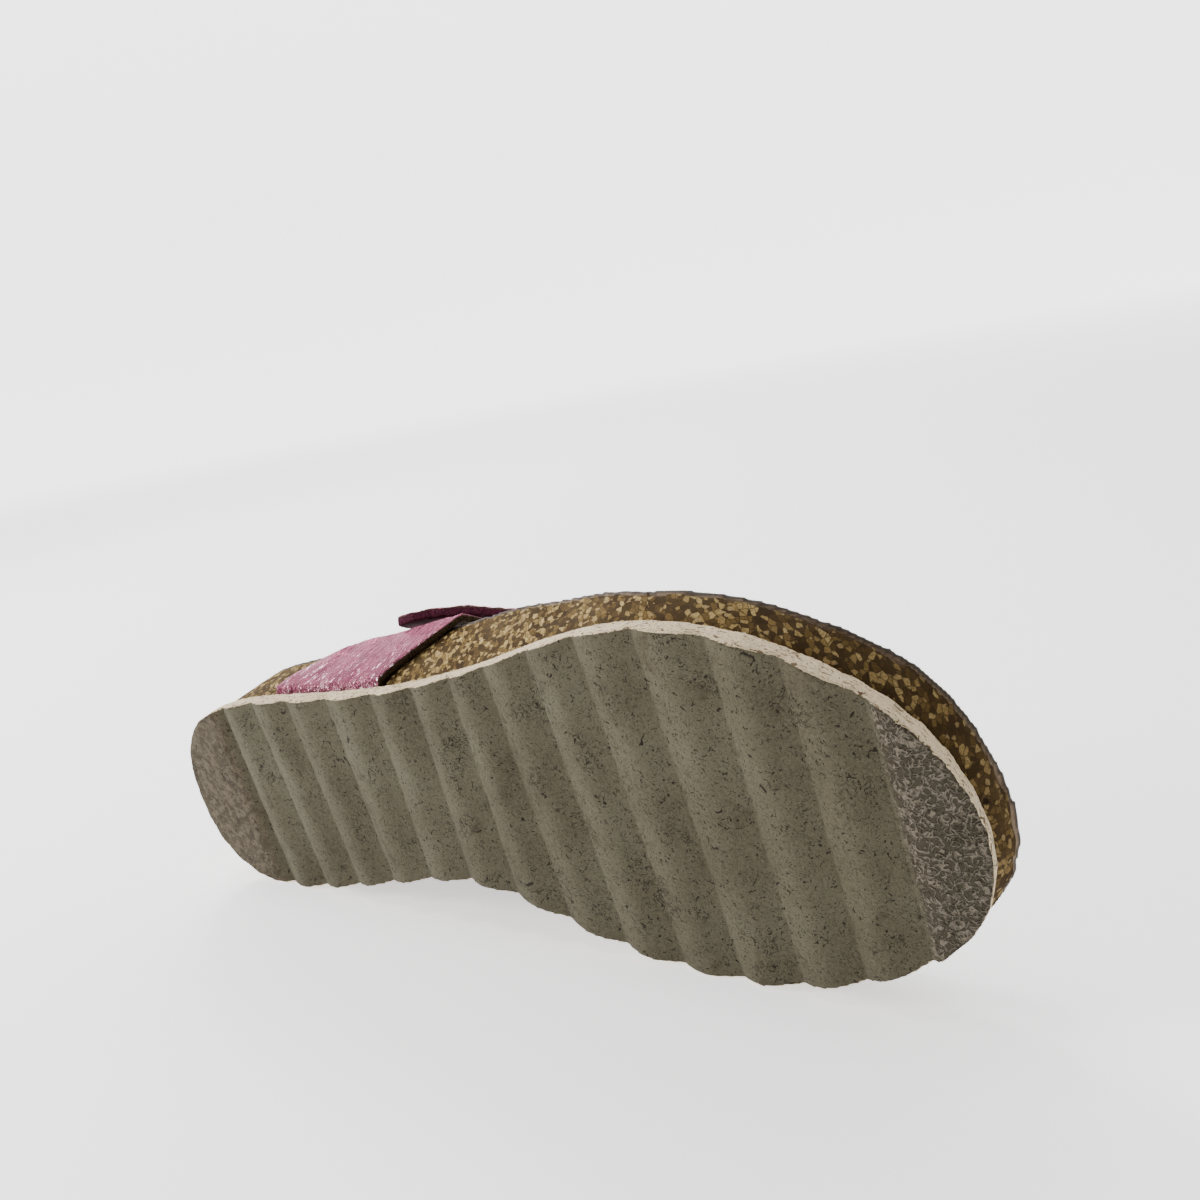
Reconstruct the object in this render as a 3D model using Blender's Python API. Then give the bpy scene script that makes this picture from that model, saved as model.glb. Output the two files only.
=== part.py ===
"""A right-foot cork footbed sandal with a toe post, lying on its medial side.

The sandal is modelled as it would be worn and then laid down by one empty.
Worn axes: X runs from the heel end to the toe, Y towards the medial side
(the big toe), Z up from the ground. All sizes are in millimetres until the
meshes are written, which is the only place where they become metres.
"""
import math
from collections import namedtuple

import bmesh
import bpy
from mathutils import Matrix, Vector

MM = 0.001

# Driving sizes
SOLE_LENGTH = 246.8
SOLE_THICKNESS = 6.6
RIPPLE_DEPTH = 2.2
TOE_SPRING = 1.2
SPRING_START = 190.0
ROCKER = 2.6
ROCKER_START = 229.0
TOE_UNDERCUT = 1.6
UNDERCUT_START = 205.0
CORK_INSET = 1.2
LINING = 1.4
RIM_LAND = 3.0
SEAT = 0.3
STRAP_SEAT = 0.4
LATERAL_CROWN_FULLNESS = 0.42
LATERAL_SIDE_FULLNESS = 0.35
MEDIAL_CROWN_FULLNESS = 0.66
MEDIAL_SIDE_FULLNESS = 0.6
MEDIAL_LEAN = -24.0
WING_THICKNESS = 2.2
BAND_THICKNESS = 2.9
LASTING_MARGIN = 9.0
HEEL_FOCUS = 30.0
TOE_FOCUS = 204.0
POST_STATION = 196.0
POST_WIDTH = 7.0
POST_DEPTH = 5.0

# How the sandal lies: turned a quarter onto its medial side, then tipped so
# that the sole's edge and the medial strap both touch the ground
LYING_ROLL = -83.66
LYING_PITCH = -2.28

# The outline of the sole, from the heel along the lateral side to the toe
# and back along the medial side
Edge = namedtuple("Edge", "station side")
OUTLINE = [
    Edge(0.0, 3.5), Edge(1.8, -8.5), Edge(7.0, -17.8), Edge(15.5, -24.8),
    Edge(28.0, -28.6), Edge(44.0, -30.6), Edge(60.0, -31.4), Edge(78.0, -32.4),
    Edge(96.0, -34.2), Edge(110.5, -36.4), Edge(124.0, -39.0), Edge(137.0, -42.2),
    Edge(151.0, -46.0), Edge(166.0, -49.2), Edge(182.0, -50.0), Edge(198.0, -47.8),
    Edge(214.0, -42.4), Edge(230.0, -33.6), Edge(239.8, -23.5), Edge(245.4, -11.5),
    Edge(SOLE_LENGTH, -1.0), Edge(245.3, 8.5), Edge(239.6, 18.0), Edge(230.0, 25.6),
    Edge(214.0, 32.8), Edge(198.0, 36.4), Edge(182.0, 37.6), Edge(166.0, 36.4),
    Edge(151.0, 33.3), Edge(137.0, 28.7), Edge(124.0, 24.2), Edge(110.5, 21.2),
    Edge(96.0, 21.6), Edge(78.0, 24.8), Edge(60.0, 28.2), Edge(44.0, 30.6),
    Edge(28.0, 31.6), Edge(13.5, 28.6), Edge(4.5, 21.0), Edge(0.8, 12.5),
]

# The grooves between the tread's ripples: where each one runs out at the
# lateral edge and at the medial edge, whose sides are given first
LATERAL_RUN_OUT = -42.0
MEDIAL_RUN_OUT = 31.0
Groove = namedtuple("Groove", "lateral medial")
GROOVES = [
    Groove(26.7, 28.3), Groove(41.2, 43.8), Groove(56.6, 59.3), Groove(73.9, 74.8),
    Groove(92.4, 90.3), Groove(108.0, 105.8), Groove(121.8, 121.3), Groove(134.3, 136.8),
    Groove(148.7, 152.3), Groove(163.4, 167.8), Groove(179.3, 183.3), Groove(196.2, 198.8),
    Groove(211.5, 214.3), Groove(226.9, 229.8),
]

# What rises from the sole: the cork's rim on both sides and how far it leans
# out, the width of the cup's slope, the bed where the foot stands, and the
# crown under which the straps pass, with its place across the shoe
Form = namedtuple("Form", "station rim_lateral rim_medial flare_lateral "
                          "flare_medial cup bed crown crown_side lean_lateral")
FORMS = [
    Form(0.0, 30.0, 30.0, 0.4, 0.4, 19.0, 17.5, 74.0, 0.0, 12.0),
    Form(28.0, 30.0, 32.0, 0.2, 0.6, 20.0, 17.5, 74.0, 0.0, 12.0),
    Form(60.0, 31.0, 37.0, 1.6, 5.0, 22.0, 18.5, 73.0, 0.0, 12.0),
    Form(95.0, 31.0, 40.0, 4.6, 10.5, 24.0, 21.5, 65.0, 1.0, 30.0),
    Form(124.0, 30.0, 34.0, 5.8, 8.0, 23.0, 21.0, 56.0, 3.0, 45.0),
    Form(150.0, 25.5, 25.0, 3.2, 3.0, 20.0, 18.5, 48.0, 5.0, 40.0),
    Form(180.0, 18.5, 19.5, 2.0, 2.0, 13.0, 13.5, 39.0, 8.0, 30.0),
    Form(205.0, 18.0, 18.0, 2.0, 1.6, 11.0, 14.0, 30.0, 10.5, 30.0),
    Form(232.0, 17.5, 17.0, 2.0, 1.6, 10.0, 13.5, 25.0, 10.5, 30.0),
    Form(SOLE_LENGTH, 15.0, 15.0, 1.2, 1.2, 10.0, 13.0, 24.0, 10.5, 30.0),
]

# The straps as cut flat: rear and front edge at each girth. Girth is 0 on the
# crown, 1 at the cork's rim, 2 at the foot of the wall and 3 at the end of
# the margin lasted under the cork; lateral girths are negative
Cut = namedtuple("Cut", "girth rear front")
SIDE_STRAP_CUTS = [
    Cut(-3.0, 49.0, 88.0), Cut(-2.0, 46.0, 91.0), Cut(-1.5, 50.0, 96.5),
    Cut(-1.15, 55.0, 102.0), Cut(-1.0, 60.0, 105.0), Cut(-0.86, 70.0, 107.0),
]
MEDIAL_CUTS = [
    Cut(0.50, 95.0, 142.0), Cut(0.75, 78.0, 126.0), Cut(1.0, 62.0, 110.0),
    Cut(1.5, 54.0, 101.0), Cut(2.0, 50.0, 96.0), Cut(3.0, 53.0, 93.0),
]
# The toe bar, from the instep down to the toe post
Bar = namedtuple("Bar", "station lateral medial")
TOE_BAR = [
    Bar(159.0, -0.27, 0.32), Bar(169.0, -0.16, 0.22), Bar(180.0, -0.12, 0.17),
    Bar(192.0, -0.105, 0.18), Bar(200.0, -0.09, 0.16),
]
TOE_BAR_END = 205.0

# The buckle on the lateral instep
BUCKLE_STATION = 132.0
BUCKLE_GIRTH = -0.45
BAND_WIDTH = 22.0
BAND_RUN = (-0.948, -0.317)
QUARTER_GIRTH = 58.0
FRAME_WIRE = 3.0
FRAME_HALF_WIDTH = 14.5
FRONT_BAR = -8.0
HEEL_BAR = 10.0
HEEL_BAR_WIRE = 2.0
HEEL_BAR_HEIGHT = 2.6
LOOP_RADIUS = 2.4
LOOP_START = 9.6
PRONG_WIRE = 1.6
TAB_LENGTH = 67.5
BAR_LIFT = HEEL_BAR_HEIGHT + LOOP_RADIUS + SEAT + 0.2
STRAP_LIFT = WING_THICKNESS + 1.4
TIP_CURL = 1.0

LEATHER_GRID = 4.2
LEATHER_FOLDS = 13
GIRTH_SCALE = 50.0
LAYER_SCALE = 10.0


def smooth(value, low, high):
    """0 below low, 1 above high, with a soft start and end."""
    share = min(1.0, max(0.0, (value - low) / (high - low)))
    return share * share * (3.0 - 2.0 * share)


def blend(a, b, share):
    return a + (b - a) * share


def rows_at(rows, key, value, name):
    """A column of a table at any value of its key, on a smooth curve."""
    keys = [getattr(row, key) for row in rows]
    column = [getattr(row, name) for row in rows]
    if value <= keys[0]:
        return column[0]
    if value >= keys[-1]:
        return column[-1]
    i = max(k for k in range(len(keys) - 1) if keys[k] <= value)
    gaps = [keys[k + 1] - keys[k] for k in range(len(keys) - 1)]
    slopes = [(column[k + 1] - column[k]) / gaps[k] for k in range(len(gaps))]

    def tangent(k):
        if k in (0, len(keys) - 1) or slopes[k - 1] * slopes[k] <= 0:
            return 0.0
        return 2.0 * slopes[k - 1] * slopes[k] / (slopes[k - 1] + slopes[k])

    t = (value - keys[i]) / gaps[i]
    return ((2 * t ** 3 - 3 * t ** 2 + 1) * column[i]
            + (t ** 3 - 2 * t ** 2 + t) * gaps[i] * tangent(i)
            + (3 * t ** 2 - 2 * t ** 3) * column[i + 1]
            + (t ** 3 - t ** 2) * gaps[i] * tangent(i + 1))


def form(station, name):
    return rows_at(FORMS, "station", station, name)


def spring(station):
    """How far the sole has risen from the ground at a station."""
    share = max(0.0, (station - SPRING_START) / (SOLE_LENGTH - SPRING_START))
    return TOE_SPRING * share ** 2


def rocker(station):
    """How far the underside alone curves up behind the last ripple."""
    share = max(0.0, (station - ROCKER_START) / (SOLE_LENGTH - ROCKER_START))
    return ROCKER * share ** 1.6


def undercut(station):
    """How far the sole's upper edge stands back from its lower edge."""
    share = max(0.0, (station - UNDERCUT_START) / (SOLE_LENGTH - UNDERCUT_START))
    return TOE_UNDERCUT * min(1.0, share) ** 1.3


def closed_spline(points, steps):
    """A smooth closed curve through the points, steps to each span."""
    curve = []
    count = len(points)
    for i in range(count):
        before, start = Vector(points[i - 1]), Vector(points[i])
        end, after = Vector(points[(i + 1) % count]), Vector(points[(i + 2) % count])
        for k in range(steps):
            t = k / steps
            curve.append(0.5 * (2 * start + (end - before) * t
                                + (2 * before - 5 * start + 4 * end - after) * t ** 2
                                + (3 * start - before - 3 * end + after) * t ** 3))
    return curve


SOLE_CURVE = closed_spline([(edge.station, edge.side) for edge in OUTLINE], 12)
Rim = namedtuple("Rim", "point normal spine medial")


def curve_normal(i):
    """The outward normal of the sole's outline at its i-th span."""
    run = SOLE_CURVE[(i + 1) % len(SOLE_CURVE)] - SOLE_CURVE[i]
    return Vector((run.y, -run.x)).normalized()


def side_point(station, medial):
    """The outline's point and outward normal at a station on one side."""
    count = len(SOLE_CURVE)
    for i in range(count):
        a, b = SOLE_CURVE[i], SOLE_CURVE[(i + 1) % count]
        heads_to_heel = b.x < a.x
        if heads_to_heel == medial and min(a.x, b.x) <= station <= max(a.x, b.x) and a.x != b.x:
            share = (station - a.x) / (b.x - a.x)
            near = curve_normal(i).lerp(curve_normal((i + 1) % count), share)
            return a.lerp(b, share), near.normalized()
    raise ValueError("no edge at station %s" % station)


def centre_side(station):
    inside = min(max(station, HEEL_FOCUS), TOE_FOCUS)
    return 0.5 * (side_point(inside, False)[0].y + side_point(inside, True)[0].y)


def fan_point(focus, angle):
    """The outline's point and normal where a ray from a focus meets it."""
    ray = Vector((math.cos(angle), math.sin(angle)))
    count = len(SOLE_CURVE)
    for i in range(count):
        a, b = SOLE_CURVE[i] - focus, SOLE_CURVE[(i + 1) % count] - focus
        side_a, side_b = ray.cross(a), ray.cross(b)
        if side_a * side_b <= 0 and side_a != side_b and (a + b).dot(ray) > 0:
            share = side_a / (side_a - side_b)
            near = curve_normal(i).lerp(curve_normal((i + 1) % count), share)
            return focus + a.lerp(b, share), near.normalized()
    raise ValueError("no edge at angle %s" % angle)


def medial_share(point):
    """0 on the lateral side, 1 on the medial side, blended round the ends."""
    station = min(max(point.x, HEEL_FOCUS), TOE_FOCUS)
    lateral, medial = side_point(station, False)[0].y, side_point(station, True)[0].y
    return smooth((point.y - lateral) / (medial - lateral), 0.1, 0.9)


def rim_samples(side_steps=25, heel_steps=12, toe_steps=16):
    """Places round the outline, paired across the shoe between the foci."""
    stations = [blend(HEEL_FOCUS, TOE_FOCUS, i / side_steps) for i in range(side_steps + 1)]
    samples = []
    for station in stations:
        point, normal = side_point(station, False)
        samples.append((point, normal, Vector((station, centre_side(station)))))
    samples += fan(TOE_FOCUS, False, toe_steps)
    for station in reversed(stations):
        point, normal = side_point(station, True)
        samples.append((point, normal, Vector((station, centre_side(station)))))
    samples += fan(HEEL_FOCUS, True, heel_steps)
    return [Rim(point, normal, spine, medial_share(point)) for point, normal, spine in samples]


def fan(station, medial_first, steps):
    """Outline places round the heel or the toe, seen from its focus."""
    focus = Vector((station, centre_side(station)))
    start = side_point(station, medial_first)[0] - focus
    end = side_point(station, not medial_first)[0] - focus
    first = math.atan2(start.y, start.x)
    last = math.atan2(end.y, end.x)
    if last < first:
        last += 2 * math.pi
    places = []
    for i in range(1, steps):
        point, normal = fan_point(focus, blend(first, last, i / steps))
        places.append((point, normal, focus))
    return places


def rim_height(rim):
    station = rim.point.x
    height = blend(form(station, "rim_lateral"), form(station, "rim_medial"), rim.medial)
    return height + spring(station)


def wall_lean(station, medial, height, top):
    """How far the cork's wall stands out of the sole's edge at a height."""
    foot = SOLE_THICKNESS + spring(station)
    flare = blend(form(station, "flare_lateral"), form(station, "flare_medial"), medial)
    share = max(0.0, (height - foot) / (top - foot))
    return blend(-CORK_INSET - undercut(station), flare, share ** 0.85)


def sole_top(station):
    return SOLE_THICKNESS + spring(station)


def cork_profile(rim):
    """The cork from the middle of its underside, out, up and over the rim, and
    back down into the bed. Returns the under and side points, then the upper
    points with the direction in which the lining lies on each."""
    top = rim_height(rim)
    cork_top = top - LINING - SEAT
    outward = rim.normal.to_3d()
    edge = rim.point.to_3d()
    under = []
    for share in (0.0, 0.5):
        place = rim.spine.lerp(rim.point - rim.normal * (CORK_INSET + TOE_UNDERCUT), share)
        under.append(Vector((place.x, place.y, sole_top(place.x) + SEAT)))
    foot = sole_top(edge.x) + SEAT
    side = []
    for share in (0.0, 0.3, 0.65, 1.0):
        height = blend(foot, cork_top, share)
        lean = wall_lean(edge.x, rim.medial, height, top)
        side.append(edge + outward * lean + Vector((0, 0, height)))
    crest = side.pop()
    lip = Vector((crest.x, crest.y))
    inward = rim.spine - lip
    reach = inward.length
    inward.normalize()
    cup = min(form(edge.x, "cup") * blend(1.0, 1.15, rim.medial), reach - 1.0)
    upper = []
    for share in (0.0, RIM_LAND / cup, 0.28, 0.42, 0.58, 0.78, 1.0, None):
        distance = reach if share is None else cup * share
        slope = 1.0 if share is None else smooth(share, 0.06, 1.05)
        place = lip + inward * distance
        bed = form(place.x, "bed") + spring(place.x) - LINING
        upper.append(Vector((place.x, place.y, blend(cork_top, bed, slope))))
    seats = []
    for i, point in enumerate(upper):
        if i in (0, len(upper) - 1):
            seats.append(Vector((0, 0, 1)))
            continue
        run = upper[i + 1] - upper[i - 1]
        flat = math.hypot(run.x, run.y)
        across = inward.to_3d() * -run.z + Vector((0, 0, flat))
        seats.append(across.normalized())
    return under + side, upper, seats


def clear_scene():
    for obj in list(bpy.data.objects):
        bpy.data.objects.remove(obj)


def new_collection(name):
    collection = bpy.data.collections.new(name)
    bpy.context.scene.collection.children.link(collection)
    return collection


def face_outwards(bm):
    bmesh.ops.recalc_face_normals(bm, faces=bm.faces)
    if bm.calc_volume(signed=True) < 0:
        bmesh.ops.reverse_faces(bm, faces=bm.faces)


def object_from_bmesh(bm, name, collection):
    face_outwards(bm)
    mesh = bpy.data.meshes.new(name)
    bm.to_mesh(mesh)
    bm.free()
    obj = bpy.data.objects.new(name, mesh)
    collection.objects.link(obj)
    return obj


def ring_body(rings, name, collection):
    """A closed body from rings of equal length whose first and last rings
    fold shut along the spine."""
    bm = bmesh.new()
    loops = [[bm.verts.new(point * MM) for point in ring] for ring in rings]
    count = len(rings[0])
    for low, high in zip(loops, loops[1:]):
        for i in range(count):
            bm.faces.new((low[i], low[(i + 1) % count], high[(i + 1) % count], high[i]))
    bmesh.ops.remove_doubles(bm, verts=bm.verts, dist=0.02 * MM)
    bmesh.ops.triangulate(bm, faces=bm.faces)
    return object_from_bmesh(bm, name, collection)


def capped_body(rings, name, collection):
    """A closed body between two rings, with flat ends."""
    bm = bmesh.new()
    loops = [[bm.verts.new(point * MM) for point in ring] for ring in rings]
    count = len(rings[0])
    for i in range(count):
        follower = (i + 1) % count
        bm.faces.new((loops[0][i], loops[0][follower], loops[1][follower], loops[1][i]))
    for loop in loops:
        bm.faces.new(loop)
    return object_from_bmesh(bm, name, collection)


def prism(points, low, high, name, collection):
    """An upright prism on a closed outline."""
    bm = bmesh.new()
    base = [bm.verts.new(Vector((x, y, low)) * MM) for x, y in points]
    face = bm.faces.new(base)
    raised = bmesh.ops.extrude_face_region(bm, geom=[face])["geom"]
    lifted = [item for item in raised if isinstance(item, bmesh.types.BMVert)]
    bmesh.ops.translate(bm, verts=lifted, vec=Vector((0, 0, high - low)) * MM)
    return object_from_bmesh(bm, name, collection)


def cylinder(name, start, end, radius, sides, collection):
    bm = bmesh.new()
    run = Vector(end) - Vector(start)
    bmesh.ops.create_cone(bm, cap_ends=True, segments=sides, radius1=radius * MM,
                          radius2=radius * MM, depth=run.length * MM)
    turn = run.to_track_quat("Z", "Y").to_matrix().to_4x4()
    middle = (Vector(start) + Vector(end)) * 0.5 * MM
    bmesh.ops.transform(bm, matrix=Matrix.Translation(middle) @ turn, verts=bm.verts)
    return object_from_bmesh(bm, name, collection)


def join(obj, tool, operation, cutters):
    """Cut obj with a tool, join it, or keep what both share."""
    modifier = obj.modifiers.new(operation.lower() + "_" + tool.name, "BOOLEAN")
    modifier.operation = operation
    modifier.solver = "EXACT"
    modifier.object = tool
    tool.hide_render = True
    tool.display_type = "WIRE"
    if tool.name not in cutters.objects:
        for owner in list(tool.users_collection):
            owner.objects.unlink(tool)
        cutters.objects.link(tool)


def bake_modifiers(obj):
    """Make the object's modifiers part of its mesh."""
    graph = bpy.context.evaluated_depsgraph_get()
    mesh = bpy.data.meshes.new_from_object(obj.evaluated_get(graph))
    obj.modifiers.clear()
    obj.data = mesh


def ripple(phase):
    """How deep the underside lies above the ground from one groove to the next."""
    return RIPPLE_DEPTH * (1.0 - math.sin(math.pi * phase ** 0.9) ** 0.6)


def groove_station(groove, side):
    share = (side - LATERAL_RUN_OUT) / (MEDIAL_RUN_OUT - LATERAL_RUN_OUT)
    return blend(groove.lateral, groove.medial, share)


def tread_profile(side):
    """The slab's section at one side of the shoe: the rippled underside from
    the heel to the toe, and the top back to the heel."""
    first, last = groove_station(GROOVES[0], side), groove_station(GROOVES[-1], side)
    lower = [(-10.0, 0.0), (10.0, 0.0), (first - 2.0, 0.0)]
    for rear, front in zip(GROOVES, GROOVES[1:]):
        start, end = groove_station(rear, side), groove_station(front, side)
        for phase in (0.0, 0.05, 0.16, 0.34, 0.56, 0.78, 0.93):
            lower.append((blend(start, end, phase), ripple(phase)))
    lower += [(last, RIPPLE_DEPTH), (last + 2.0, 0.0)]
    lower += [(x, 0.0) for x in (237.0, 242.0, 247.0, 258.0)]
    tops = [-10.0, SPRING_START] + [SPRING_START + 9.0 * k for k in range(1, 8)]
    return ([(x, depth + spring(x) + rocker(x)) for x, depth in lower]
            + [(x, sole_top(x)) for x in reversed(tops)])


def build_outsole(parts, cutters):
    """A slab rippled right across, kept where it lies inside the outline."""
    sides = (-70.0, 60.0)
    bm = bmesh.new()
    sections = [[bm.verts.new(Vector((x, side, z)) * MM) for x, z in tread_profile(side)]
                for side in sides]
    count = len(sections[0])
    for i in range(count):
        follower = (i + 1) % count
        bm.faces.new((sections[0][i], sections[0][follower],
                      sections[1][follower], sections[1][i]))
    for section in sections:
        bm.faces.new(section)
    slab = object_from_bmesh(bm, "outsole", parts)
    low, high = -4.0, SOLE_THICKNESS + 8.0
    rings = []
    for height in (low, high):
        ring = []
        for rim in rim_samples():
            stand_back = undercut(rim.point.x) * height / SOLE_THICKNESS
            place = rim.point - rim.normal * stand_back
            ring.append(Vector((place.x, place.y, height)))
        rings.append(ring)
    shape = capped_body(rings, "sole_outline", cutters)
    join(slab, shape, "INTERSECT", cutters)
    return slab


def build_bed(parts, cutters):
    """The cork footbed and the lining that covers it."""
    rims = rim_samples()
    profiles = [cork_profile(rim) for rim in rims]
    cork_rings = list(zip(*[outer + upper for outer, upper, _ in profiles]))
    cork = ring_body(cork_rings, "cork_footbed", parts)
    lining_paths = []
    for _, upper, seats in profiles:
        low = [point + seat * SEAT for point, seat in zip(upper, seats)]
        high = [point + seat * (SEAT + LINING) for point, seat in zip(upper, seats)]
        lining_paths.append(list(reversed(low)) + high)
    lining = ring_body(list(zip(*lining_paths)), "insole", parts)
    place = (POST_STATION, form(POST_STATION, "crown_side"))
    bed = form(POST_STATION, "bed") + spring(POST_STATION)
    hole = cylinder("post_hole", (*place, bed - LINING - POST_DEPTH), (*place, bed + 20.0),
                    POST_WIDTH * 0.5 + SEAT, 20, cutters)
    join(cork, hole, "DIFFERENCE", cutters)
    join(lining, hole, "DIFFERENCE", cutters)
    seats = ((SIDE_STRAP_CUTS, False), (MEDIAL_CUTS, True))
    for cuts, medial in seats:
        cut_lasting_seat(cork, cuts, medial, cutters)
    return cork, lining


def cut_lasting_seat(cork, cuts, medial, cutters):
    """A shallow step under the cork's edge for a strap's lasted margin."""
    ends = [cut for cut in cuts if abs(cut.girth) >= 2.0]
    rear = min(cut.rear for cut in ends) - 0.8
    front = max(cut.front for cut in ends) + 0.8
    sign = 1.0 if medial else -1.0
    outer, inner = [], []
    for k in range(5):
        point, normal = side_point(blend(rear, front, k / 4), medial)
        outer.append(tuple(point + normal * 12.0))
        inner.append(tuple(point - normal * (CORK_INSET + LASTING_MARGIN + 1.0)))
    outline = outer + inner[::-1]
    if sign > 0:
        outline.reverse()
    top = SOLE_THICKNESS + SEAT + WING_LAYER[medial] + SEAT
    name = "medial_lasting_seat" if medial else "lateral_lasting_seat"
    seat = prism(outline, SOLE_THICKNESS - 3.0, top, name, cutters)
    join(cork, seat, "DIFFERENCE", cutters)


WING_LAYER = {False: WING_THICKNESS, True: BAND_THICKNESS}


def quarter(station, medial):
    """The straps' inner face from the crown down to the cork's rim, as points
    at even steps along its length."""
    point, normal = side_point(station, medial)
    share = 1.0 if medial else 0.0
    name = "rim_medial" if medial else "rim_lateral"
    top = form(station, name) + spring(station)
    foot = sole_top(station)

    def wall(height):
        lean = wall_lean(station, share, height, top) + STRAP_SEAT
        return Vector((point.x, point.y, 0)) + normal.to_3d() * lean + Vector((0, 0, height))

    rim = wall(top)
    lean = math.radians(MEDIAL_LEAN if medial else form(station, "lean_lateral"))
    rise = Vector((0, 0, math.cos(lean))) - normal.to_3d() * math.sin(lean)
    crown = Vector((station, form(station, "crown_side"), form(station, "crown")))
    height = crown.z - rim.z
    width = Vector((0, rim.y - crown.y, 0))
    flat_share = MEDIAL_CROWN_FULLNESS if medial else LATERAL_CROWN_FULLNESS
    rise_share = MEDIAL_SIDE_FULLNESS if medial else LATERAL_SIDE_FULLNESS
    control = (crown, crown + width * flat_share, rim + rise * height * rise_share, rim)
    curve = []
    for i in range(33):
        t = i / 32
        curve.append((1 - t) ** 3 * control[0] + 3 * t * (1 - t) ** 2 * control[1]
                     + 3 * t * t * (1 - t) * control[2] + t ** 3 * control[3])
    lengths = [0.0]
    for a, b in zip(curve, curve[1:]):
        lengths.append(lengths[-1] + (b - a).length)
    return curve, lengths, wall


QUARTERS = {}


def last_point(station, girth):
    """A point of the straps' inner face."""
    medial = girth > 0
    key = (round(station, 4), medial)
    if key not in QUARTERS:
        QUARTERS[key] = quarter(station, medial)
    curve, lengths, wall = QUARTERS[key]
    reach = abs(girth)
    if reach <= 1.0:
        target = reach * lengths[-1]
        i = max(k for k in range(len(lengths) - 1) if lengths[k] <= target + 1e-9)
        share = (target - lengths[i]) / (lengths[i + 1] - lengths[i])
        return curve[i].lerp(curve[i + 1], min(1.0, share))
    corner = sole_top(station) + SEAT + WING_LAYER[medial]
    if reach <= 2.0:
        return wall(blend(curve[-1].z, corner, reach - 1.0))
    foot = wall(corner)
    inward = -side_point(station, medial)[1].to_3d()
    return foot + inward * LASTING_MARGIN * (reach - 2.0)


def last_normal(station, girth):
    """The direction out of the straps' outer face."""
    step = 0.02
    along = last_point(station + 0.5, girth) - last_point(station - 0.5, girth)
    round_shoe = last_point(station, girth + step) - last_point(station, girth - step)
    normal = along.cross(round_shoe)
    return normal.normalized()


def buckle_frame_axes():
    """The buckle's own axes: run towards the tab's tip, across, and out."""
    origin = last_point(BUCKLE_STATION, BUCKLE_GIRTH)
    ahead = last_point(BUCKLE_STATION + BAND_RUN[0],
                       BUCKLE_GIRTH + BAND_RUN[1] / QUARTER_GIRTH)
    out = last_normal(BUCKLE_STATION, BUCKLE_GIRTH)
    run = (ahead - origin).normalized()
    run = (run - out * run.dot(out)).normalized()
    across = out.cross(run)
    return origin, run, across, out


BUCKLE_AXES = buckle_frame_axes()


def buckle_place(run, across, out):
    origin, run_axis, across_axis, out_axis = BUCKLE_AXES
    return origin + run_axis * run + across_axis * across + out_axis * out


def buckle_reading(point):
    origin, run_axis, across_axis, out_axis = BUCKLE_AXES
    away = point - origin
    return away.dot(run_axis), away.dot(across_axis), away.dot(out_axis)


def band_lift(station, girth):
    """How far the band stands off the last: flat through the buckle, over the
    heel bar and then on top of the side strap, with its tip curling out."""
    if girth > 0.1:
        return 0.0
    run, _, out = buckle_reading(last_point(station, girth))
    flat = smooth(run, -20.0, -9.0) * (1.0 - smooth(run, 11.0, 22.0))
    over = BAR_LIFT * smooth(run, -7.0, 7.5)
    over += (STRAP_LIFT - BAR_LIFT) * smooth(run, 13.0, 23.0)
    over += TIP_CURL * (smooth(run, 23.0, 38.0) - smooth(run, 48.0, TAB_LENGTH))
    return over - out * flat


def wing_lift(station, girth):
    """The side strap lies flat where it meets the heel bar."""
    if girth < -1.2:
        return 0.0
    run, _, out = buckle_reading(last_point(station, girth))
    return -out * (1.0 - smooth(run, 11.0, 22.0))


def flat_point(run, across):
    """A place in the buckle's neighbourhood on the flat leather."""
    girth_run = (BAND_RUN[0] * run - BAND_RUN[1] * across,
                 BAND_RUN[1] * run + BAND_RUN[0] * across)
    return (BUCKLE_STATION + girth_run[0], BUCKLE_GIRTH + girth_run[1] / QUARTER_GIRTH)


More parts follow.
